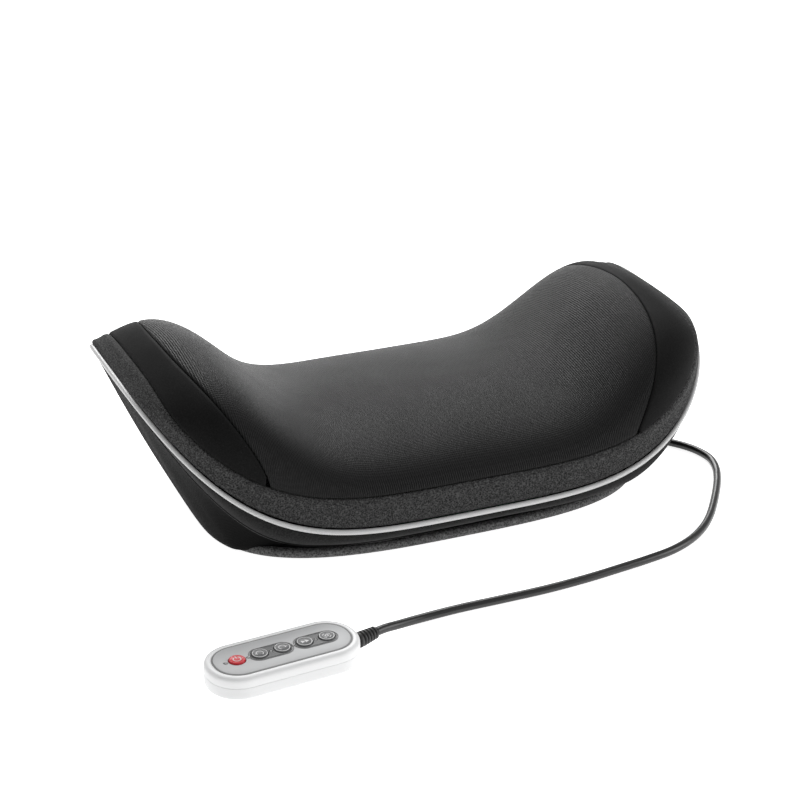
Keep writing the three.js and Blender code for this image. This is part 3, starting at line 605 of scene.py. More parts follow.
def face_outwards(mesh):
    """Turns all faces of a closed mesh to point out."""
    work = bmesh.new()
    work.from_mesh(mesh)
    if work.calc_volume(signed=True) < 0:
        bmesh.ops.reverse_faces(work, faces=work.faces)
        work.to_mesh(mesh)
    work.free()


def finish_piece(obj, nodes=(), body="root"):
    """Hides the CAD nodes that a piece stands for and attaches it to the body that it rides on."""
    if nodes:
        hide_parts(*nodes)
    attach(obj, body)
    return obj


def piece(name, rings, finish, nodes=(), body="root", endless=False, sharp=None):
    """A lofted piece with its finish, standing for CAD nodes and riding on a body."""
    obj = new_object(name, rings, finish, endless, sharp)
    return finish_piece(obj, nodes, body)


def carve(obj, cutters):
    """Cuts closed objects out of obj and removes them."""
    for cutter in cutters:
        step = obj.modifiers.new("cut", "BOOLEAN")
        step.operation = "DIFFERENCE"
        step.solver = "EXACT"
        step.object = cutter
    bake_modifiers(obj)
    for cutter in cutters:
        bpy.data.objects.remove(cutter)
    work = bmesh.new()
    work.from_mesh(obj.data)
    bmesh.ops.remove_doubles(work, verts=work.verts, dist=MERGE_DISTANCE)
    bmesh.ops.dissolve_degenerate(work, edges=work.edges, dist=MERGE_DISTANCE)
    bmesh.ops.triangulate(work, faces=[f for f in work.faces if len(f.verts) > 4])
    work.to_mesh(obj.data)
    work.free()
    return obj


def turned(profile, segments=48):
    """Rings about +Z from (radius, z) pairs that start and end close to the axis."""
    angle = np.linspace(0, 2 * np.pi, segments, endpoint=False)
    circle = np.stack([np.cos(angle), np.sin(angle), np.zeros(segments)], -1)
    return [circle * r + np.array([0, 0, z]) for r, z in profile]


def aimed(rings, origin, axis):
    """Rings made about +Z, moved onto an axis."""
    turn = np.array(Vector((0, 0, 1)).rotation_difference(Vector(axis)).to_matrix())
    return [ring @ turn.T + np.array(origin) for ring in rings]


def rounded(profile, radius, steps=4):
    """A profile whose inner corners are cut to a small curve."""
    points = [np.array(p, float) for p in profile]
    made = [points[0]]
    for before, corner, after in zip(points, points[1:], points[2:]):
        reach = min(radius, np.linalg.norm(before - corner) / 2, np.linalg.norm(after - corner) / 2)
        start = corner + (before - corner) / max(np.linalg.norm(before - corner), 1e-9) * reach
        end = corner + (after - corner) / max(np.linalg.norm(after - corner), 1e-9) * reach
        for k in range(steps + 1):
            t = k / steps
            made.append((1 - t) ** 2 * start + 2 * t * (1 - t) * corner + t**2 * end)
    made.append(points[-1])
    return [p for before, p in zip([made[0] + 1, *made], made) if np.linalg.norm(p - before) > 0.01]


# ---------------------------------------------------------------- pillow form

AROUND = 720

# Share of the way out at which the rings round the pole start.
POLE_SHARE = 0.012


def signed_power(value, exponent):
    return np.sign(value) * np.abs(value) ** exponent


def spaced(points, count, closed=False):
    """Points at equal steps along a line; a closed line's end is its start, and is left out."""
    length = np.r_[0, np.cumsum(np.linalg.norm(np.diff(points, axis=0), axis=1))]
    targets = np.linspace(0, length[-1], count, endpoint=not closed)
    return np.stack([np.interp(targets, length, points[:, k]) for k in range(points.shape[1])], -1)


def even_outline(count):
    """Points at equal steps of length around the pillow's outline."""
    angle = np.linspace(0, 2 * np.pi, 20001)
    c = np.cos(angle)
    s = np.sin(angle)
    exponent = 2 / np.where(s > 0, REAR_EXPONENT, FRONT_EXPONENT)
    depth = np.where(s > 0, REAR_DEPTH, FRONT_DEPTH)
    points = np.stack([HALF_LENGTH * signed_power(c, exponent), depth * signed_power(s, exponent)], -1)
    return spaced(points, count, closed=True)


OUTLINE = even_outline(AROUND)


def edge_height(x):
    return EDGE_LOW + EDGE_RISE * np.abs(x / HALF_LENGTH) ** EDGE_POWER


def keel_height(x):
    lift = np.maximum(0, (np.abs(x) - KEEL_FLAT_X) / (HALF_LENGTH - KEEL_FLAT_X))
    return KEEL + (EDGE_LOW + EDGE_RISE - KEEL) * lift**KEEL_POWER


def crown_height(x, y):
    """Height of the cover above the piped edge."""
    e = np.minimum(1, np.abs(x) / HALF_LENGTH)
    front = -FRONT_DEPTH * (1 - e**FRONT_EXPONENT) ** (1 / FRONT_EXPONENT)
    rear = REAR_DEPTH * (1 - e**REAR_EXPONENT) ** (1 / REAR_EXPONENT)
    middle = (front + rear) / 2
    half = np.maximum((rear - front) / 2, 1e-6)
    across = np.minimum(1, np.abs(y - middle) / half)
    rise = 0.5 - 0.5 * np.cos(np.pi * np.minimum(1, np.abs(x) / HORN_X))
    crown = np.where(x < 0, HORN_CROWN["left"], HORN_CROWN["right"])
    sharpness = np.where(x < 0, HORN_SHARPNESS["left"], HORN_SHARPNESS["right"])
    ridge = (SADDLE_CROWN + crown * rise**sharpness) * (1 - e**END_POWER)
    return ridge * (1 - across**SECTION_POWER) ** (1 / SECTION_SQUARENESS)


def plan_point(edge, t):
    """A plan point at a share t of the way from the pillow's middle to its outline."""
    x = edge[:, :1] * t
    y = SPINE_Y + (edge[:, 1:] - SPINE_Y) * t
    return x, y


def cover_point(edge, t):
    x, y = plan_point(edge, t)
    return np.stack([x, y, edge_height(x) + EDGE_CLEARANCE + crown_height(x, y)], -1)


def hull_point(edge, t):
    x, y = plan_point(edge, t)
    bilge = np.sqrt(np.maximum(0, 1 - t**BILGE_POWER))
    rim = edge_height(x)
    return np.stack([x, y, rim - EDGE_CLEARANCE - (rim - keel_height(x)) * bilge], -1)


def band_start(edge):
    """Where the border band starts, as a share of the way to the outline, from its width on the cloth."""
    near = 1 - 0.25 * np.linspace(0, 1, 400) ** 4
    points = cover_point(edge, np.repeat(near[None], len(edge), axis=0))
    steps = np.linalg.norm(np.diff(points, axis=1), axis=2)
    length = np.concatenate([np.zeros((len(edge), 1)), np.cumsum(steps, axis=1)], axis=1)
    width = BAND_WIDTH - BAND_END_NARROWING * np.abs(edge[:, 0] / HALF_LENGTH) ** 3
    return np.array([np.interp(width[i], length[i], near) for i in range(len(edge))])


def seam_distance(y):
    """The seam between centre and side panels, as a distance from the middle."""
    along = np.minimum(1, np.abs((y - SEAM_Y) / SEAM_HALF_WIDTH))
    return SEAM_X * (1 - along**2) ** (1 / SEAM_SQUARENESS)


def centre_reach(edge):
    """How far the centre panel reaches towards each outline point."""
    low = np.zeros(len(edge))
    high = band_start(edge)
    limit = high.copy()
    for _ in range(40):
        t = (low + high) / 2
        x = edge[:, 0] * t
        y = SPINE_Y + (edge[:, 1] - SPINE_Y) * t
        inside = np.abs(x - SEAM_SHIFT) < seam_distance(y)
        low = np.where(inside, t, low)
        high = np.where(inside, high, t)
    return np.minimum(high, limit)


NEAR_SEAM = np.array([0, 0.15, 0.4, 0.75, 1.2, 1.7, 2.3, 3.0, 3.8, 4.8, 6.2, 8.0])


def stations(edge, start, end, surface, inner_steps, soft_start=True):
    """Shares of the way out at chosen distances along the surface, close together near its seams.

    Returns the shares and each one's distance, in mm, from the nearest seam.
    """
    fine = 1 - (1 - np.linspace(0, 1, 600)) ** 4
    t = start[:, None] + (end - start)[:, None] * fine[None]
    points = surface(edge, t)
    steps = np.linalg.norm(np.diff(points, axis=1), axis=2)
    length = np.concatenate([np.zeros((len(edge), 1)), np.cumsum(steps, axis=1)], axis=1)
    total = length[:, -1:]
    reach = np.minimum(NEAR_SEAM[-1], total * 0.42)
    near = NEAR_SEAM[None] / NEAR_SEAM[-1] * reach
    middle_share = np.linspace(0, 1, inner_steps + 2)[1:-1][None]
    middle = reach + (total - 2 * reach) * middle_share
    distance = np.concatenate([near, middle, total - near[:, ::-1]], axis=1)
    shares = np.stack([np.interp(distance[i], length[i], t[i]) for i in range(len(edge))])
    from_end = total - distance
    from_seam = np.minimum(distance, from_end) if soft_start else from_end
    return shares, from_seam


def grid_normals(points, endless):
    """Normals of a grid of surface points, first index round and second index outwards."""
    if endless:
        around = np.roll(points, -1, axis=0) - np.roll(points, 1, axis=0)
    else:
        around = np.gradient(points, axis=0)
    out = np.gradient(points, axis=1)
    normal = np.cross(out, around)
    length = np.linalg.norm(normal, axis=2, keepdims=True)
    return normal / np.maximum(length, 1e-9)


def seam_profile(distance, bead=0.0):
    """How far the cloth is pulled in at a distance from its seam: a rounded edge and a raised bead."""
    u = np.clip(1 - distance / SEAM_WIDTH, 0, 1)
    edge = -SEAM_DEPTH * (1 - np.sqrt(np.maximum(0, 1 - u**2)))
    return edge + bead * np.exp(-(((distance - BEAD_AT) / 1.2) ** 2))


def ease(points):
    """A slow, slight unevenness of stuffed cloth, in mm."""
    x, y = points[..., 0], points[..., 1]
    wave = np.sin(x / 23.0 + 1.3) * np.sin(y / 19.0 + 0.4) + 0.6 * np.sin(x / 11.0 - y / 17.0)
    return 0.16 * wave


def panel_grid(edge, shares, distance, endless, bead=0.0, upward=True):
    """The outside and inside layers of a sewn cover panel."""
    surface = cover_point if upward else hull_point
    base = surface(edge, shares)
    normal = grid_normals(base, endless)
    if (normal[..., 2].mean() < 0) == upward:
        normal = -normal
    lift = seam_profile(distance, bead) + ease(base) * np.clip(distance / 12, 0, 1)
    outside = base + normal * lift[..., None]
    inside = base - normal * COVER_THICKNESS
    return outside, inside


def weave_attribute(obj):
    """Stores run lengths along and across the cloth, in mm, for the rib pattern."""
    points = vertex_places(obj.data) / MM
    xs = np.linspace(-HALF_LENGTH, HALF_LENGTH, 4001)
    ridge = edge_height(xs) + crown_height(xs, np.full_like(xs, SPINE_Y))
    run = np.r_[0, np.cumsum(np.hypot(np.diff(xs), np.diff(ridge)))]
    across = np.interp(points[:, 0], xs, run)
    values = np.stack([across, points[:, 1] - points[:, 2] * 0.6, points[:, 2]], -1)
    attribute = obj.data.attributes.new("weave", "FLOAT_VECTOR", "POINT")
    attribute.data.foreach_set("vector", values.astype(np.float32).ravel())


# ---------------------------------------------------------------- pillow cover


def mesh_panel():
    """The ribbed centre panel."""
    reach = centre_reach(OUTLINE)
    start = np.full(AROUND, POLE_SHARE)
    shares, distance = stations(OUTLINE, start, reach, cover_point, 70, soft_start=False)
    outside, inside = panel_grid(OUTLINE, shares, distance, True)
    rings = np.concatenate([outside.transpose(1, 0, 2), inside.transpose(1, 0, 2)[::-1]])
    obj = new_object("cover_mesh_panel", rings, "mesh_fabric")
    weave_attribute(obj)
    return finish_piece(obj, ["mesh_panel"])


def side_panel(side):
    """The plain crescent between the centre panel and the band at one end."""
    reach = centre_reach(OUTLINE)
    limit = band_start(OUTLINE)
    wide = (limit - reach > LEAST_SIDE_SHARE) & (OUTLINE[:, 0] * side > 0)
    order = np.arange(AROUND) if side < 0 else np.roll(np.arange(AROUND), AROUND // 2)
    order = order[wide[order]]
    edge = OUTLINE[order]
    shares, distance = stations(edge, reach[order], limit[order], cover_point, 16)
    outside, inside = panel_grid(edge, shares, distance, False)
    sections = np.concatenate([outside, inside[:, ::-1]], axis=1)
    name = SIDE_NAMES[side]
    return piece(f"cover_side_{name}", sections, "plain_fabric", [f"side_panel_{name}"])


def border_band():
    """The felted band round the whole pillow, with a raised bead along its upper seam."""
    start = band_start(OUTLINE)
    shares, distance = stations(OUTLINE, start, np.ones(AROUND), cover_point, 8)
    outside, inside = panel_grid(OUTLINE, shares, distance, True, BEAD_HEIGHT)
    sections = np.concatenate([outside, inside[:, ::-1]], axis=1)
    return piece("cover_border_band", sections, "band_fabric", ["border_band"], endless=True)


def outward_directions(outline, centre_y):
    """Unit directions square to a closed outline, pointing out."""
    along = np.roll(outline, -1, axis=0) - np.roll(outline, 1, axis=0)
    out = np.stack([along[:, 1], -along[:, 0]], -1)
    out /= np.linalg.norm(out, axis=1, keepdims=True)
    flip = np.sign((out * (outline - np.array([0, centre_y]))).sum(1))
    return out * flip[:, None]


def swept(outline, heights, centre_y, section):
    """Rings of a section of (out, up) pairs carried round a closed outline."""
    out = outward_directions(outline, centre_y)
    rings = []
    for point, direction, z in zip(outline, out, heights):
        ring = [(*(point + direction * a), z + b) for a, b in section]
        rings.append(ring)
    return np.array(rings)


def oval_section(half_width, half_height, sides=16, squareness=2.0):
    angle = np.linspace(0, 2 * np.pi, sides, endpoint=False)
    a = half_width * signed_power(np.cos(angle), 2 / squareness)
    b = half_height * signed_power(np.sin(angle), 2 / squareness)
    return list(zip(a, b))


def edge_piping():
    """The silver cord sewn into the edge seam."""
    section = oval_section(PIPING_RADIUS, PIPING_RADIUS)
    rings = swept(OUTLINE, edge_height(OUTLINE[:, 0]), SPINE_Y, section)
    return piece("cover_piping", rings, "silver_piping", ["edge_piping"], endless=True)


def rear_hull():
    """The cloth covered shell under the piping, without openings for the jack and the gland."""
    shares = np.concatenate([np.linspace(POLE_SHARE, 0.86, 26), 1 - 0.14 * np.linspace(0.96, 0, 34) ** 2.0])
    t = np.repeat(shares[None], AROUND, axis=0)
    base = hull_point(OUTLINE, t)
    normal = grid_normals(base, True)
    if normal[..., 2].mean() > 0:
        normal = -normal
    outside = base + normal * ease(base)[..., None] * np.clip((1 - t) * 30, 0, 1)[..., None]
    inside = base - normal * HULL_THICKNESS
    rings = np.concatenate([outside.transpose(1, 0, 2), inside.transpose(1, 0, 2)[::-1]])
    return piece("rear_hull", rings, "hull_fabric", ["rear_shell"])


# ---------------------------------------------------------------- belt panel


def oval_outline(half_length, half_width, exponent, centre_y, count):
    """Even points round a square oval."""
    angle = np.linspace(0, 2 * np.pi, 8001)
    x = half_length * signed_power(np.cos(angle), 2 / exponent)
    y = centre_y + half_width * signed_power(np.sin(angle), 2 / exponent)
    points = np.stack([x, y], -1)
    return spaced(points, count, closed=True)


def inflate(obj, voxel, pressure, cap):
    """Puffs a closed mesh up by cloth simulation and applies the result, moving no point past cap."""
    remesh = obj.modifiers.new("remesh", "REMESH")
    remesh.mode = "VOXEL"
    remesh.voxel_size = voxel
    bake_modifiers(obj)
    start = vertex_places(obj.data)
    cloth = obj.modifiers.new("cloth", "CLOTH")
    cloth.settings.use_pressure = True
    cloth.settings.uniform_pressure_force = pressure
    cloth.settings.effector_weights.gravity = 0
    cloth.settings.quality = 5
    cloth.settings.tension_stiffness = 40
    cloth.settings.bending_stiffness = 2
    scene = bpy.context.scene
    for number in range(1, CLOTH_FRAMES + 1):
        scene.frame_set(number)
    graph = bpy.context.evaluated_depsgraph_get()
    move = vertex_places(obj.evaluated_get(graph).data) - start
    obj.modifiers.clear()
    scene.frame_set(1)
    size = np.linalg.norm(move, axis=1, keepdims=True)
    move *= np.minimum(1, cap / np.maximum(size, 1e-9))
    obj.data.vertices.foreach_set("co", (start + move).ravel())
    obj.data.update()


def belt_pad():
    """The padded panel that the pillow rests on."""
    outline = oval_outline(PANEL_HALF_LENGTH - 1, PANEL_HALF_WIDTH - 1, PANEL_EXPONENT, PANEL_Y, 240)
    low, high = PANEL_Z
    centre = np.array([0, PANEL_Y])
    rings = []
    for inset, z in ((30, low), (2, low), (0, (low + high) / 2), (2, high), (30, high)):
        shrink = 1 - inset / PANEL_HALF_WIDTH
        plan = centre + (outline - centre) * shrink
        rings.append(np.column_stack([plan, np.full(len(plan), z)]))
    obj = new_object("belt_pad", rings, "panel_fabric")
    inflate(obj, BELT_VOXEL, BELT_PRESSURE, BELT_PUFF)
    finer = obj.modifiers.new("finer", "SUBSURF")
    finer.levels = 1
    finer.render_levels = 1
    bake_modifiers(obj)
    places = vertex_places(obj.data)
    places[:, 2] = np.clip(places[:, 2], BELT_LOWEST * MM, BELT_HIGHEST * MM)
    obj.data.vertices.foreach_set("co", places.ravel())
    shade_smooth(obj.data)
    finish_piece(obj, ["back_panel"])
    return obj


def belt_hem():
    """The rolled hem bound round the panel."""
    outline = oval_outline(PANEL_HALF_LENGTH, PANEL_HALF_WIDTH, PANEL_EXPONENT, PANEL_Y, 480)
    low, high = HEM_Z
    section = oval_section(HEM_WIDTH / 2, (high - low) / 2, 20, 2.4)
    rings = swept(outline, np.full(len(outline), (low + high) / 2), PANEL_Y, section)
    return piece(
        "belt_hem", rings, "hem_fabric", ["back_panel_binding"], endless=True
    )


def blend_step(value, start, end):
    """0 before start, 1 after end and a smooth change between."""
    u = np.clip((value - start) / (end - start), 0, 1)
    return u * u * (3 - 2 * u)


def part_of(outline, first_y, last_x):
    """The left end and front of a closed outline: from a height y at the end to an x at the front."""
    keep = (outline[:, 0] < last_x) & (outline[:, 1] < first_y)
    order = np.flatnonzero(keep)
    return outline[order]


def end_web(side):
    """The cloth strap that closes one end, from the edge down to the belt panel.

    The left one runs on round the front corner; the right one stops at it, with an opening for the cord.
    """
    along = 150
    down = 26
    name = SIDE_NAMES[side]
    front = WEB_FRONT_X[name]
    edge = spaced(part_of(OUTLINE, WEB_TOP_Y, -front), along)
    share = np.linspace(0, 1, along)
    reach = WEB_TOP_SHARES[0] + (WEB_TOP_SHARES[1] - WEB_TOP_SHARES[0]) * blend_step(share, 0.2, 0.62)
    upper = hull_point(edge, reach[:, None])[:, 0]
    upper[:, 2] -= 0.8
    grow = HEM_WIDTH / 2 + 1.6
    belt = oval_outline(PANEL_HALF_LENGTH + grow, PANEL_HALF_WIDTH + grow, PANEL_EXPONENT, PANEL_Y, 900)
    foot = spaced(part_of(belt, WEB_FOOT_Y, -front), along)
    tuck = blend_step(share, 0.36, 0.56) if side < 0 else np.zeros(along)
    pole = np.array([0, PANEL_Y])
    foot = pole + (foot - pole) * (1 - 0.075 * tuck)[:, None]
    lower = np.column_stack([foot, 2.0 + 7.0 * tuck])
    fall = np.linspace(0, 1, down)
    grid = upper[:, None] * (1 - fall)[None, :, None] + lower[:, None] * fall[None, :, None]
    normal = grid_normals(grid, False)
    if normal[..., 1].mean() > 0:
        normal = -normal
    fold = np.sin(share * 31)[:, None] * np.sin(np.pi * fall)[None] * 0.5
    belly = np.sin(np.pi * fall)[None] * 1.2
    grid = grid + normal * (fold + belly)[..., None]
    inner = grid - normal * WEB_THICKNESS
    sections = np.concatenate([grid, inner[:, ::-1]], axis=1)
    if side > 0:
        sections = sections * np.array([-1, 1, 1])
    obj = new_object(f"end_web_{name}", sections, "strap_webbing")
    if side > 0:
        opening = turned([(EYELET_RADIUS, z) for z in EYELET_REACH], 32)
        carve(obj, [new_object("cutter", aimed(opening, GLAND_POINT, GLAND_AXIS), "strap_webbing")])
    return finish_piece(obj, [f"strap_{name}"])


def foam_bolster(side):
    """The foam block inside one horn, softened from its CAD solid."""
    name = SIDE_NAMES[side]
    low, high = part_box(f"foam_bolster_{name}")
    source = frame["nodes"][f"foam_bolster_{name}"]
    mesh = source.data.copy()
    obj = bpy.data.objects.new(f"horn_foam_{name}", mesh)
    bpy.context.scene.collection.objects.link(obj)
    mesh.materials.clear()
    mesh.materials.append(MATERIALS["foam"])
    remesh = obj.modifiers.new("remesh", "REMESH")
    remesh.mode = "VOXEL"
    remesh.voxel_size = max(0.0035, (high - low).length / 40)
    bake_modifiers(obj)
    smooth = obj.modifiers.new("smooth", "SMOOTH")
    smooth.iterations = 6
    bake_modifiers(obj)
    shade_smooth(obj.data)
    finish_piece(obj, [f"foam_bolster_{name}"])
    return obj


# ---------------------------------------------------------------- cord


def smooth_route(points, per_span=10):
    """A smooth line through the route's points, by centripetal Catmull-Rom spans."""
    p = np.array(points)
    p = np.concatenate([[2 * p[0] - p[1]], p, [2 * p[-1] - p[-2]]])
    made = []
    for a, b, c, d in zip(p, p[1:], p[2:], p[3:]):
        knots = np.cumsum([0] + [np.linalg.norm(v) ** 0.5 for v in (b - a, c - b, d - c)])
        for k in range(per_span):
            t = knots[1] + (knots[2] - knots[1]) * k / per_span
            ab = (a * (knots[1] - t) + b * (t - knots[0])) / (knots[1] - knots[0])
            bc = (b * (knots[2] - t) + c * (t - knots[1])) / (knots[2] - knots[1])
            cd = (c * (knots[3] - t) + d * (t - knots[2])) / (knots[3] - knots[2])
            abc = (ab * (knots[2] - t) + bc * (t - knots[0])) / (knots[2] - knots[0])
            bcd = (bc * (knots[3] - t) + cd * (t - knots[1])) / (knots[3] - knots[1])
            made.append((abc * (knots[2] - t) + bcd * (t - knots[1])) / (knots[2] - knots[1]))
    made.append(p[-2])
    return np.array(made)


def handset_cord():
    """The cord, a curve of one open spline."""
    line = smooth_route(CORD_ROUTE)
    curve = bpy.data.curves.new("handset_lead", "CURVE")
    curve.dimensions = "3D"
    curve.bevel_depth = CORD_DIAMETER / 2
    curve.bevel_resolution = 7
    curve.use_fill_caps = True
    spline = curve.splines.new("POLY")
    spline.points.add(len(line) - 1)
    for point, place in zip(spline.points, line):
        point.co = (*place, 1)
    spline.use_smooth = True
    obj = bpy.data.objects.new("handset_lead", curve)
    bpy.context.scene.collection.objects.link(obj)
    curve.materials.append(MATERIALS["cord_black"])
    finish_piece(obj, ["handset_cord"])
    return obj


def gland():
    """The ribbed sleeve where the cord leaves the hull."""
    profile = [(0.3, -6), (5, -6), (5, 2.5)]
    for rib in range(3):
        z = 3.5 + rib * 2.8
        profile += [(4.3, z), (4.3, z + 0.7), (4.9 - 0.25 * rib, z + 1.1), (4.9 - 0.25 * rib, z + 2.2)]
    profile += [(3.6, 13.4), (3.4, 14), (0.3, 14)]
    rings = aimed(turned(rounded(profile, 0.3, 2)), GLAND_POINT, GLAND_AXIS)
    return piece(
        "lead_gland", rings, "relief_black", ["cord_gland"],
        sharp=SLEEVE_ANGLE,
    )


def strain_relief():
    """The ribbed sleeve where the cord enters the handset."""
    foot = handset_point(np.array([[RELIEF_REACH, 0, RELIEF_Z]]))[0]
    axis = (math.cos(RELIEF_YAW), math.sin(RELIEF_YAW), 0)
    profile = [(0.3, 0), (4.7, 0), (4.7, 1.6)]
    ribs = 5
    for rib in range(ribs):
        z = 2.1 + rib * 2.35
        outer = 4.65 - 0.2 * rib
        profile += [(outer - 0.95, z), (outer - 0.95, z + 0.55), (outer, z + 0.8), (outer, z + 1.95)]
    profile += [(3.2, 13.9), (0.3, 13.9)]
    rings = aimed(turned(rounded(profile, 0.28, 2)), foot, axis)
    return piece(
        "lead_strain_relief", rings, "relief_black", ["strain_relief"],
        sharp=SLEEVE_ANGLE,
    )


def power_jack():
    """The round inlet that passes through the hull's rear wall."""
    low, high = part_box("power_jack")
    centre = (low + high) / 2 / MM
    depth = (high.y - low.y) / MM
    profile = [(0.3, 0), (4.0, 0), (4.0, depth), (2.7, depth), (2.7, 3.2), (0.9, 3.2)]
    profile += [(0.9, depth - 1.2), (0.3, depth - 0.8)]
    origin = (centre.x, low.y / MM, centre.z)
    rings = aimed(turned(rounded(profile, 0.35, 3)), origin, (0, 1, 0))
    return piece("power_inlet", rings, "black_plastic", ["power_jack"], sharp=SLEEVE_ANGLE)


# ---------------------------------------------------------------- handset


def handset_point(points):
    """Points in the handset's own frame, moved to its place."""
    c = math.cos(HANDSET_YAW)
    s = math.sin(HANDSET_YAW)
    x, y, z = points[:, 0], points[:, 1], points[:, 2]
    return np.stack([HANDSET_X + c * x - s * y, HANDSET_Y + s * x + c * y, z], -1)


def rounded_rectangle(length, width, corner, count=128):
    """Even points round a rectangle with round corners."""
    x = length / 2 - corner
    y = width / 2 - corner
    quarter = count // 4
    points = []
    for k, (cx, cy) in enumerate(((x, y), (-x, y), (-x, -y), (x, -y))):
        angle = np.pi / 2 * k + np.linspace(0, np.pi / 2, quarter)
        points.append(np.stack([cx + corner * np.cos(angle), cy + corner * np.sin(angle)], -1))
    return np.concatenate(points)


def handset_ring(inset, z, size, at):
    """One level ring of a handset piece, moved in from its outline."""
    length, width, corner = size
    plan = rounded_rectangle(length - 2 * inset, width - 2 * inset, max(corner - inset, 0.2))
    ring = np.column_stack([plan[:, 0] + at, plan[:, 1], np.full(len(plan), z)])
    return handset_point(ring)


def handset_solid(name, profile, finish, endless=False, size=HANDSET_SIZE, at=0.0):
    """A handset piece from (inset, z) pairs."""
    rings = [handset_ring(inset, z, size, at) for inset, z in profile]
    return new_object(name, rings, finish, endless, HANDSET_ANGLE)


def round_cutter(x, radius):
    """A closed cylinder through the handset's face, for cutting."""
    return handset_turned("cutter", x, [(radius, z) for z in CUT_Z], "face_grey", sharp=None)


def key_x(i):
    return (i - 2) * KEY_PITCH


def handset_turned(name, x, profile, finish, endless=False, sharp=HANDSET_ANGLE, segments=48):
    """A turned piece standing in the handset."""
    rings = [handset_point(ring + np.array([x, 0, 0])) for ring in turned(profile, segments)]
    return new_object(name, rings, finish, endless, sharp)


def handset_shells():
    """The base tub and the top rim, parted by a fine gap."""
    base = [(19, 0.55), (4.5, 0.5), (2.2, 0.3), (1.1, 0.55), (0.45, 1.1), (0.08, 2.1), (0, 3.2)]
    base += [(0, SPLIT_Z - 0.2), (0.03, SPLIT_Z), (0.12, SPLIT_Z + 0.1), (2, SPLIT_Z + 0.1)]
    base += [(2, 2.2), (19, 2.2)]
    obj = handset_solid("handset_lower_shell", base, "handset_white")
    finish_piece(obj, ["handset_base"])
    start = SPLIT_Z + 0.2
    rim = [(2, start), (0.12, start), (0.03, start + 0.1), (0, start + 0.3), (0, 11.6), (0.1, 12.5)]
    rim += [(0.4, 13.3), (0.95, 13.95), (1.7, 14.35), (2.7, 14.55), (3.6, 14.6), (4.1, 14.55)]
    rim += [(4.4, 14.3), (4.45, 13.9), (4.45, 13.6), (8.4, 13.6), (8.4, 12.4), (2.6, 12.0), (2, 11.2)]
    obj = handset_solid("handset_upper_shell", rim, "handset_white", endless=True)
    finish_piece(obj, ["handset_top"])


def face_plate():
    """The inset face plate with its key and light holes, and the dark groove round it."""
    plate = [(17, 13.9), (PLATE_INSET, 13.9), (PLATE_INSET, FACE_Z - 0.35)]
    plate += [(PLATE_INSET + 0.1, FACE_Z - 0.12), (PLATE_INSET + 0.35, FACE_Z), (17, FACE_Z)]
    obj = handset_solid("handset_face", plate, "face_grey")
    cutters = [round_cutter(key_x(i), KEY_RADIUS + 0.4) for i in range(5)]
    cutters += [round_cutter(key_x(i) - PIP_OFFSET, 1.3) for i in range(5)]
    carve(obj, cutters)
    shade_smooth(obj.data, FACE_ANGLE)
    finish_piece(obj, ["face_plate"])
    lip = [(4.5, 13.65), (4.5, 14.3), (4.7, 14.42), (5.15, 14.42), (5.36, 14.3), (5.36, 13.65)]
    groove = handset_solid("handset_face_groove", lip, "groove_grey", endless=True)
    finish_piece(groove)


def key_pods():
    """Two dark stadium fields that each hold a pair of keys, with a light line round each field."""
    for number, first in ((1, 1), (2, 3)):
        middle = (key_x(first) + key_x(first + 1)) / 2
        size = (KEY_PITCH + 13.4, 13.4, 6.69)
        field = [(5.5, FACE_Z + 0.02), (0.9, FACE_Z + 0.02), (0.9, FACE_Z + 0.16), (1.0, FACE_Z + 0.22)]
        field += [(5.5, FACE_Z + 0.22)]
        obj = handset_solid(f"key_field_{number}", field, "pod_grey", size=size, at=middle)
        holes = [round_cutter(key_x(first + k), KEY_RADIUS + 0.35) for k in (0, 1)]
        holes.append(round_cutter(key_x(first + 1) - PIP_OFFSET, 1.25))
        carve(obj, holes)
        shade_smooth(obj.data, FACE_ANGLE)
        finish_piece(obj)
        line = [(0, FACE_Z + 0.02), (0, FACE_Z + 0.24), (0.1, FACE_Z + 0.3), (0.42, FACE_Z + 0.3)]
        line += [(0.5, FACE_Z + 0.24), (0.5, FACE_Z + 0.02)]
        ring = handset_solid(
            f"key_field_line_{number}", line, "groove_grey", endless=True, size=size, at=middle
        )
        finish_piece(ring)


def key_mark(name, rings, endless, x, body):
    """A thin raised mark on a key's top, lofted over small rings in the key's own plan."""
    placed = [handset_point(np.asarray(ring, float) + np.array([x, 0, 0])) for ring in rings]
    return piece(
        name, placed, "print_light",
        body=body, endless=endless, sharp=MARK_ANGLE,
    )


def arc_mark(radius, width, start, end):
    """A band along an arc, angles in degrees; a full turn closes on itself."""
    endless = end - start >= 360
    angles = np.radians(np.linspace(start, end, 33))
    if endless:
        angles = angles[:-1]
    rings = []
    for a in angles:
        c, s = math.cos(a), math.sin(a)
        inner, outer = radius - width / 2, radius + width / 2
        rings.append([(r * c, r * s, z) for r, z in zip((inner, outer, outer, inner), np.repeat(MARK_Z, 2))])
    return rings, endless


def flat_mark(outline):
    """A convex plan shape raised to a thin plate."""
    return [[(x, y, z) for x, y in outline] for z in MARK_Z], False


def triangle(at, size, direction):
    """A small arrow head pointing along +x or -x."""
    back = at - direction * size * 0.6
    return flat_mark([(back, -size), (at + direction * size, 0), (back, size)])


def bar(x0, x1, y0, y1):
    return flat_mark([(x0, y0), (x1, y0), (x1, y1), (x0, y1)])


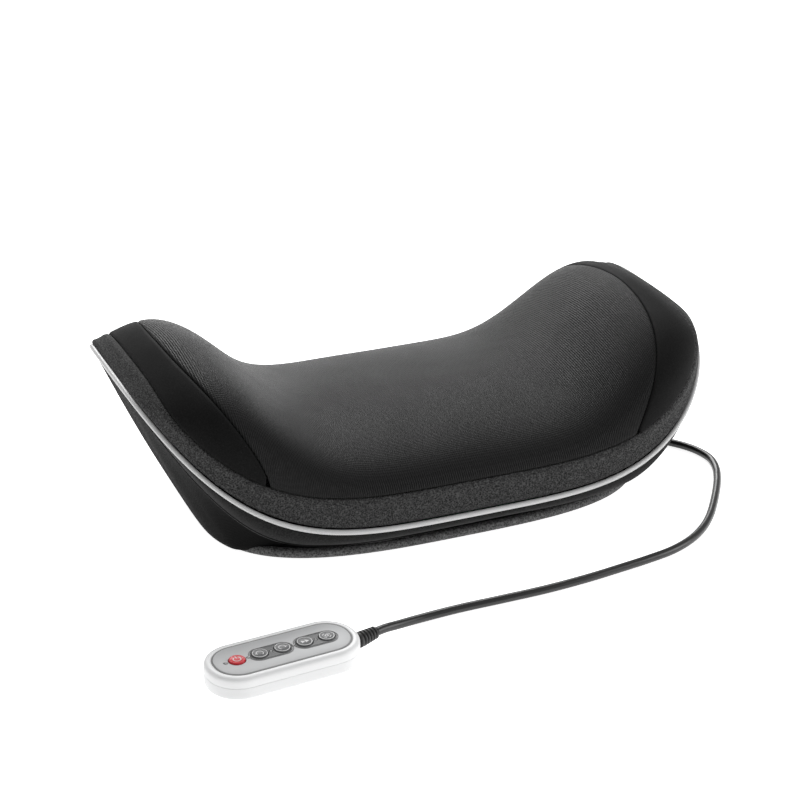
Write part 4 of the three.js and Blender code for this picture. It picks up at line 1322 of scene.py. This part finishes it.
def key_marks(index):
    """Generic marks on one key's top: power, turn left, turn right, speed and warmth."""
    if index == 0:
        return [arc_mark(2.2, 0.5, 125, 415), bar(-0.26, 0.26, 0.9, 3.0)]
    if index == 1:
        return [arc_mark(2.1, 0.45, -60, 170), triangle(-2.1, 0.9, -1)]
    if index == 2:
        return [arc_mark(2.1, 0.45, 10, 240), triangle(2.1, 0.9, 1)]
    if index == 3:
        return [triangle(-1.2, 1.4, 1), triangle(1.3, 1.4, 1)]
    return [arc_mark(0.9, 0.45, 0, 360)] + [arc_mark(2.4, 0.45, 20 + 90 * k, 70 + 90 * k) for k in range(4)]


def keys():
    """Five keys with shallow dished tops, rims and marks, each riding on its own body."""
    rim = KEY_TOP
    for i, name in enumerate(KEY_NAMES):
        profile = [(0.3, 10), (5.6, 10), (5.6, 11.2), (KEY_RADIUS, 11.2), (KEY_RADIUS, rim - 0.5)]
        profile = rounded(profile + [(KEY_RADIUS - 0.5, rim - 0.05), (3.9, rim)], 0.4, 3)
        profile += [(3.6, rim - 0.16), (0.3, rim - 0.2)]
        finish = "power_red" if i == 0 else "key_grey"
        cap = handset_turned(f"{name}_cap", key_x(i), profile, finish)
        finish_piece(cap, [name], name)
        for number, (rings, endless) in enumerate(key_marks(i), 1):
            key_mark(f"{name}_mark_{number}", rings, endless, key_x(i), name)
        if i > 0:
            ring = [(4.15, rim - 0.12), (4.15, rim + 0.02), (4.5, rim), (4.5, rim - 0.12)]
            made = handset_turned(f"{name}_ring", key_x(i), ring, "print_light", True)
            finish_piece(made, body=name)


def light_pips():
    """The light guide's five domed ends beside the keys; the bar that joins them isn't drawn."""
    profile = [(0.1, 10.4), (PIP_RADIUS, 10.4), (PIP_RADIUS, 14.8)]
    profile += [(0.8, 15.0), (0.45, 15.1), (0.05, 15.12)]
    for i in range(len(KEY_NAMES)):
        x = key_x(i) - PIP_OFFSET
        obj = handset_turned(f"light_pip_{i + 1}", x, profile, "light_guide", segments=24)
        finish_piece(obj, ["light_guide"] if i == 0 else ())


# ---------------------------------------------------------------- carried-over CAD nodes


def finish_cad_nodes():
    """Gives every CAD node that still shows its procedural finish."""
    slots = {row["node"]: row["material_slot"] for row in frame["record"]["subparts"]}
    for name, obj in frame["nodes"].items():
        if obj.hide_render:
            continue
        obj.data.materials.clear()
        obj.data.materials.append(MATERIALS[slots[name]])


# ---------------------------------------------------------------- scene


def main():
    make_camera()
    MATERIALS.update(make_materials())
    handset_cord()
    make_studio()
    cover = [mesh_panel(), border_band()]
    cover += [side_panel(side) for side in (-1, 1)]
    edge_piping()
    rear_hull()
    belt_pad()
    belt_hem()
    for side in (-1, 1):
        end_web(side)
        foam_bolster(side)
    gland()
    strain_relief()
    power_jack()
    handset_shells()
    face_plate()
    key_pods()
    keys()
    light_pips()
    finish_cad_nodes()


main()
